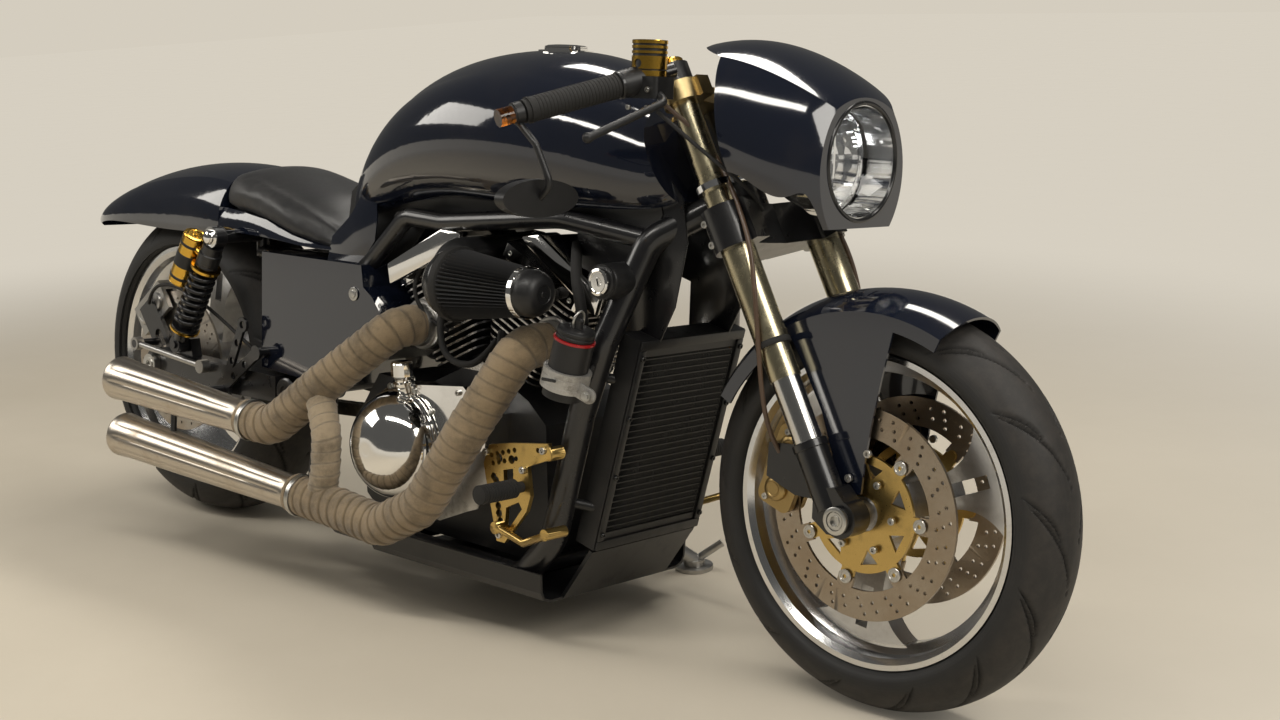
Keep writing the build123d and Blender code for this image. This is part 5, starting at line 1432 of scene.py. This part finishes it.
rows = [((748 + 103 * cos(radians(angle)), -160, 270 + 103 * sin(radians(angle))),
         (0, -1, 0)) for angle in (12, 42, 72, 108, 318, 346)]
bolts("clutch_bolts", hex_bolt, 4.6, bolt_steel, "chassis", rows)
rows = [((x, -160, z), (0, -1, 0)) for x, z in ((704, 350), (890, 380), (946, 342), (940, 236), (872, 198))]
bolts("case_bolts", socket_bolt, 5, bolt_steel, "chassis", rows)
rows = [((880 + 78 * cos(radians(angle)), 158, 280 + 78 * sin(radians(angle))),
         (0, 1, 0)) for angle in range(20, 380, 60)]
bolts("generator_bolts", socket_bolt, 5, bolt_steel, "chassis", rows)
fit(turned("generator_dome",
           ((90, 0), (88, 5), (82, 10), (70, 15), (52, 19), (30, 21.4), (10, 22), (0.5, 22)), 72),
    spot((880, 158, 280), (0, 1, 0)), bright, "chassis",
    60)
fit(turned("cap_rim",
           ((34, 0), (35.6, 0.6), (35.6, 2.4), (30, 4.4), (18, 5.4), (17, 4.6), (8, 4.6), (7, 5.4),
            (0.5, 5.4)), 64), spot((962, 0, 951), (0, 0, 1)), bright, "chassis",
    40)

# Drive chain: links and rollers over the strap of the CAD


def chain_run(step):
    """Points and ways round the chain's line, one for every link."""
    rear, front = Vector((REAR_AXLE[0], REAR_AXLE[1])), Vector((610, 300))
    big, small = 96.0, 42.0
    apart = (front - rear).length
    lean = atan2(front.y - rear.y, front.x - rear.x)
    spread = pi / 2 + atan2(big - small, apart)
    top, low = lean + spread, lean - spread
    line = []
    for index in range(17):
        turn = top + (2 * pi - 2 * spread) * index / 16
        line.append(rear + Vector((cos(turn), sin(turn))) * big)
    for index in range(13):
        turn = low + 2 * spread * index / 12
        line.append(front + Vector((cos(turn), sin(turn))) * small)
    line.append(line[0])
    whole = sum((b - a).length for a, b in zip(line, line[1:]))
    count = round(whole / step)
    found, index, walked = [], 0, 0.0
    for number in range(count):
        wanted = whole * number / count
        while walked + (line[index + 1] - line[index]).length < wanted:
            walked += (line[index + 1] - line[index]).length
            index += 1
        way = line[index + 1] - line[index]
        found.append((line[index] + way.normalized() * (wanted - walked), way.normalized()))
    return found


links, rollers = [], []
for index, (at, way) in enumerate(chain_run(15.9)):
    for side in SIDES:
        links.append(spot((at.x + way.x * 8, 118 + side * (9.4 if index % 2 else 11.2), at.y + way.y * 8),
                          (0, side, 0), (way.x, 0, way.y)))
    rollers.append(spot((at.x, 105, at.y), (0, 1, 0)))
outline = [(8 + 7.4 * cos(radians(angle)), 7.4 * sin(radians(angle))) for angle in range(-75, 76, 30)]
outline += [(-x, -y) for x, y in outline]
fit(repeated("chain_links", plate("link", outline, 1.6), links), None, chain_metal, "chassis",
    0)
fit(repeated("chain_pins", turned("pin", ((2.6, -0.6), (2.6, 26.6)), 8), rollers), None, chain_metal,
    "chassis", 40)

# Rear brake, swingarm and hanger bolts

caliper = Vector((126 * cos(radians(128)), 0, REAR_AXLE[1] + 126 * sin(radians(128))))
radial = Vector((cos(radians(128)), 0, sin(radians(128))))
tangent = Vector((-radial.z, 0, radial.x))
lobes = [spot(((caliper + tangent * step).x, -121, (caliper + tangent * step).z),
              (0, -1, 0)) for step in (-26, 26)]
fit(repeated("rear_caliper_lobes",
             turned("lobe", ((20, -1), (20, 3), (18, 6), (13, 7), (12, 6), (0.4, 6)), 36), lobes), None,
    dull_steel, "chassis", 40)
for side in SIDES:
    fit(turned("axle_nut", ((17, 0), (17, 4), (14, 4), (14, 12), (12, 14), (8, 14), (7.6, 10), (0.4, 10)),
               6 if side > 0 else 24), spot((0, side * 164, REAR_AXLE[1]), (0, side, 0)),
        bolt_steel, "chassis", 25)
    fit(turned("axle_block", ((24, 0), (24, 3), (22, 4.4), (12, 4.4)), 4),
        spot((0, side * 161, REAR_AXLE[1]), (0, side, 0), (1, 0, 1)), dull_steel, "chassis",
        25)
    fit(turned("pivot_cap", ((24, 0), (26, 1.6), (26, 5), (23, 7), (12, 7.4), (11, 5), (0.4, 5)), 48),
        spot((430, side * 163, 318), (0, side, 0)), black_frame, "chassis",
        30)
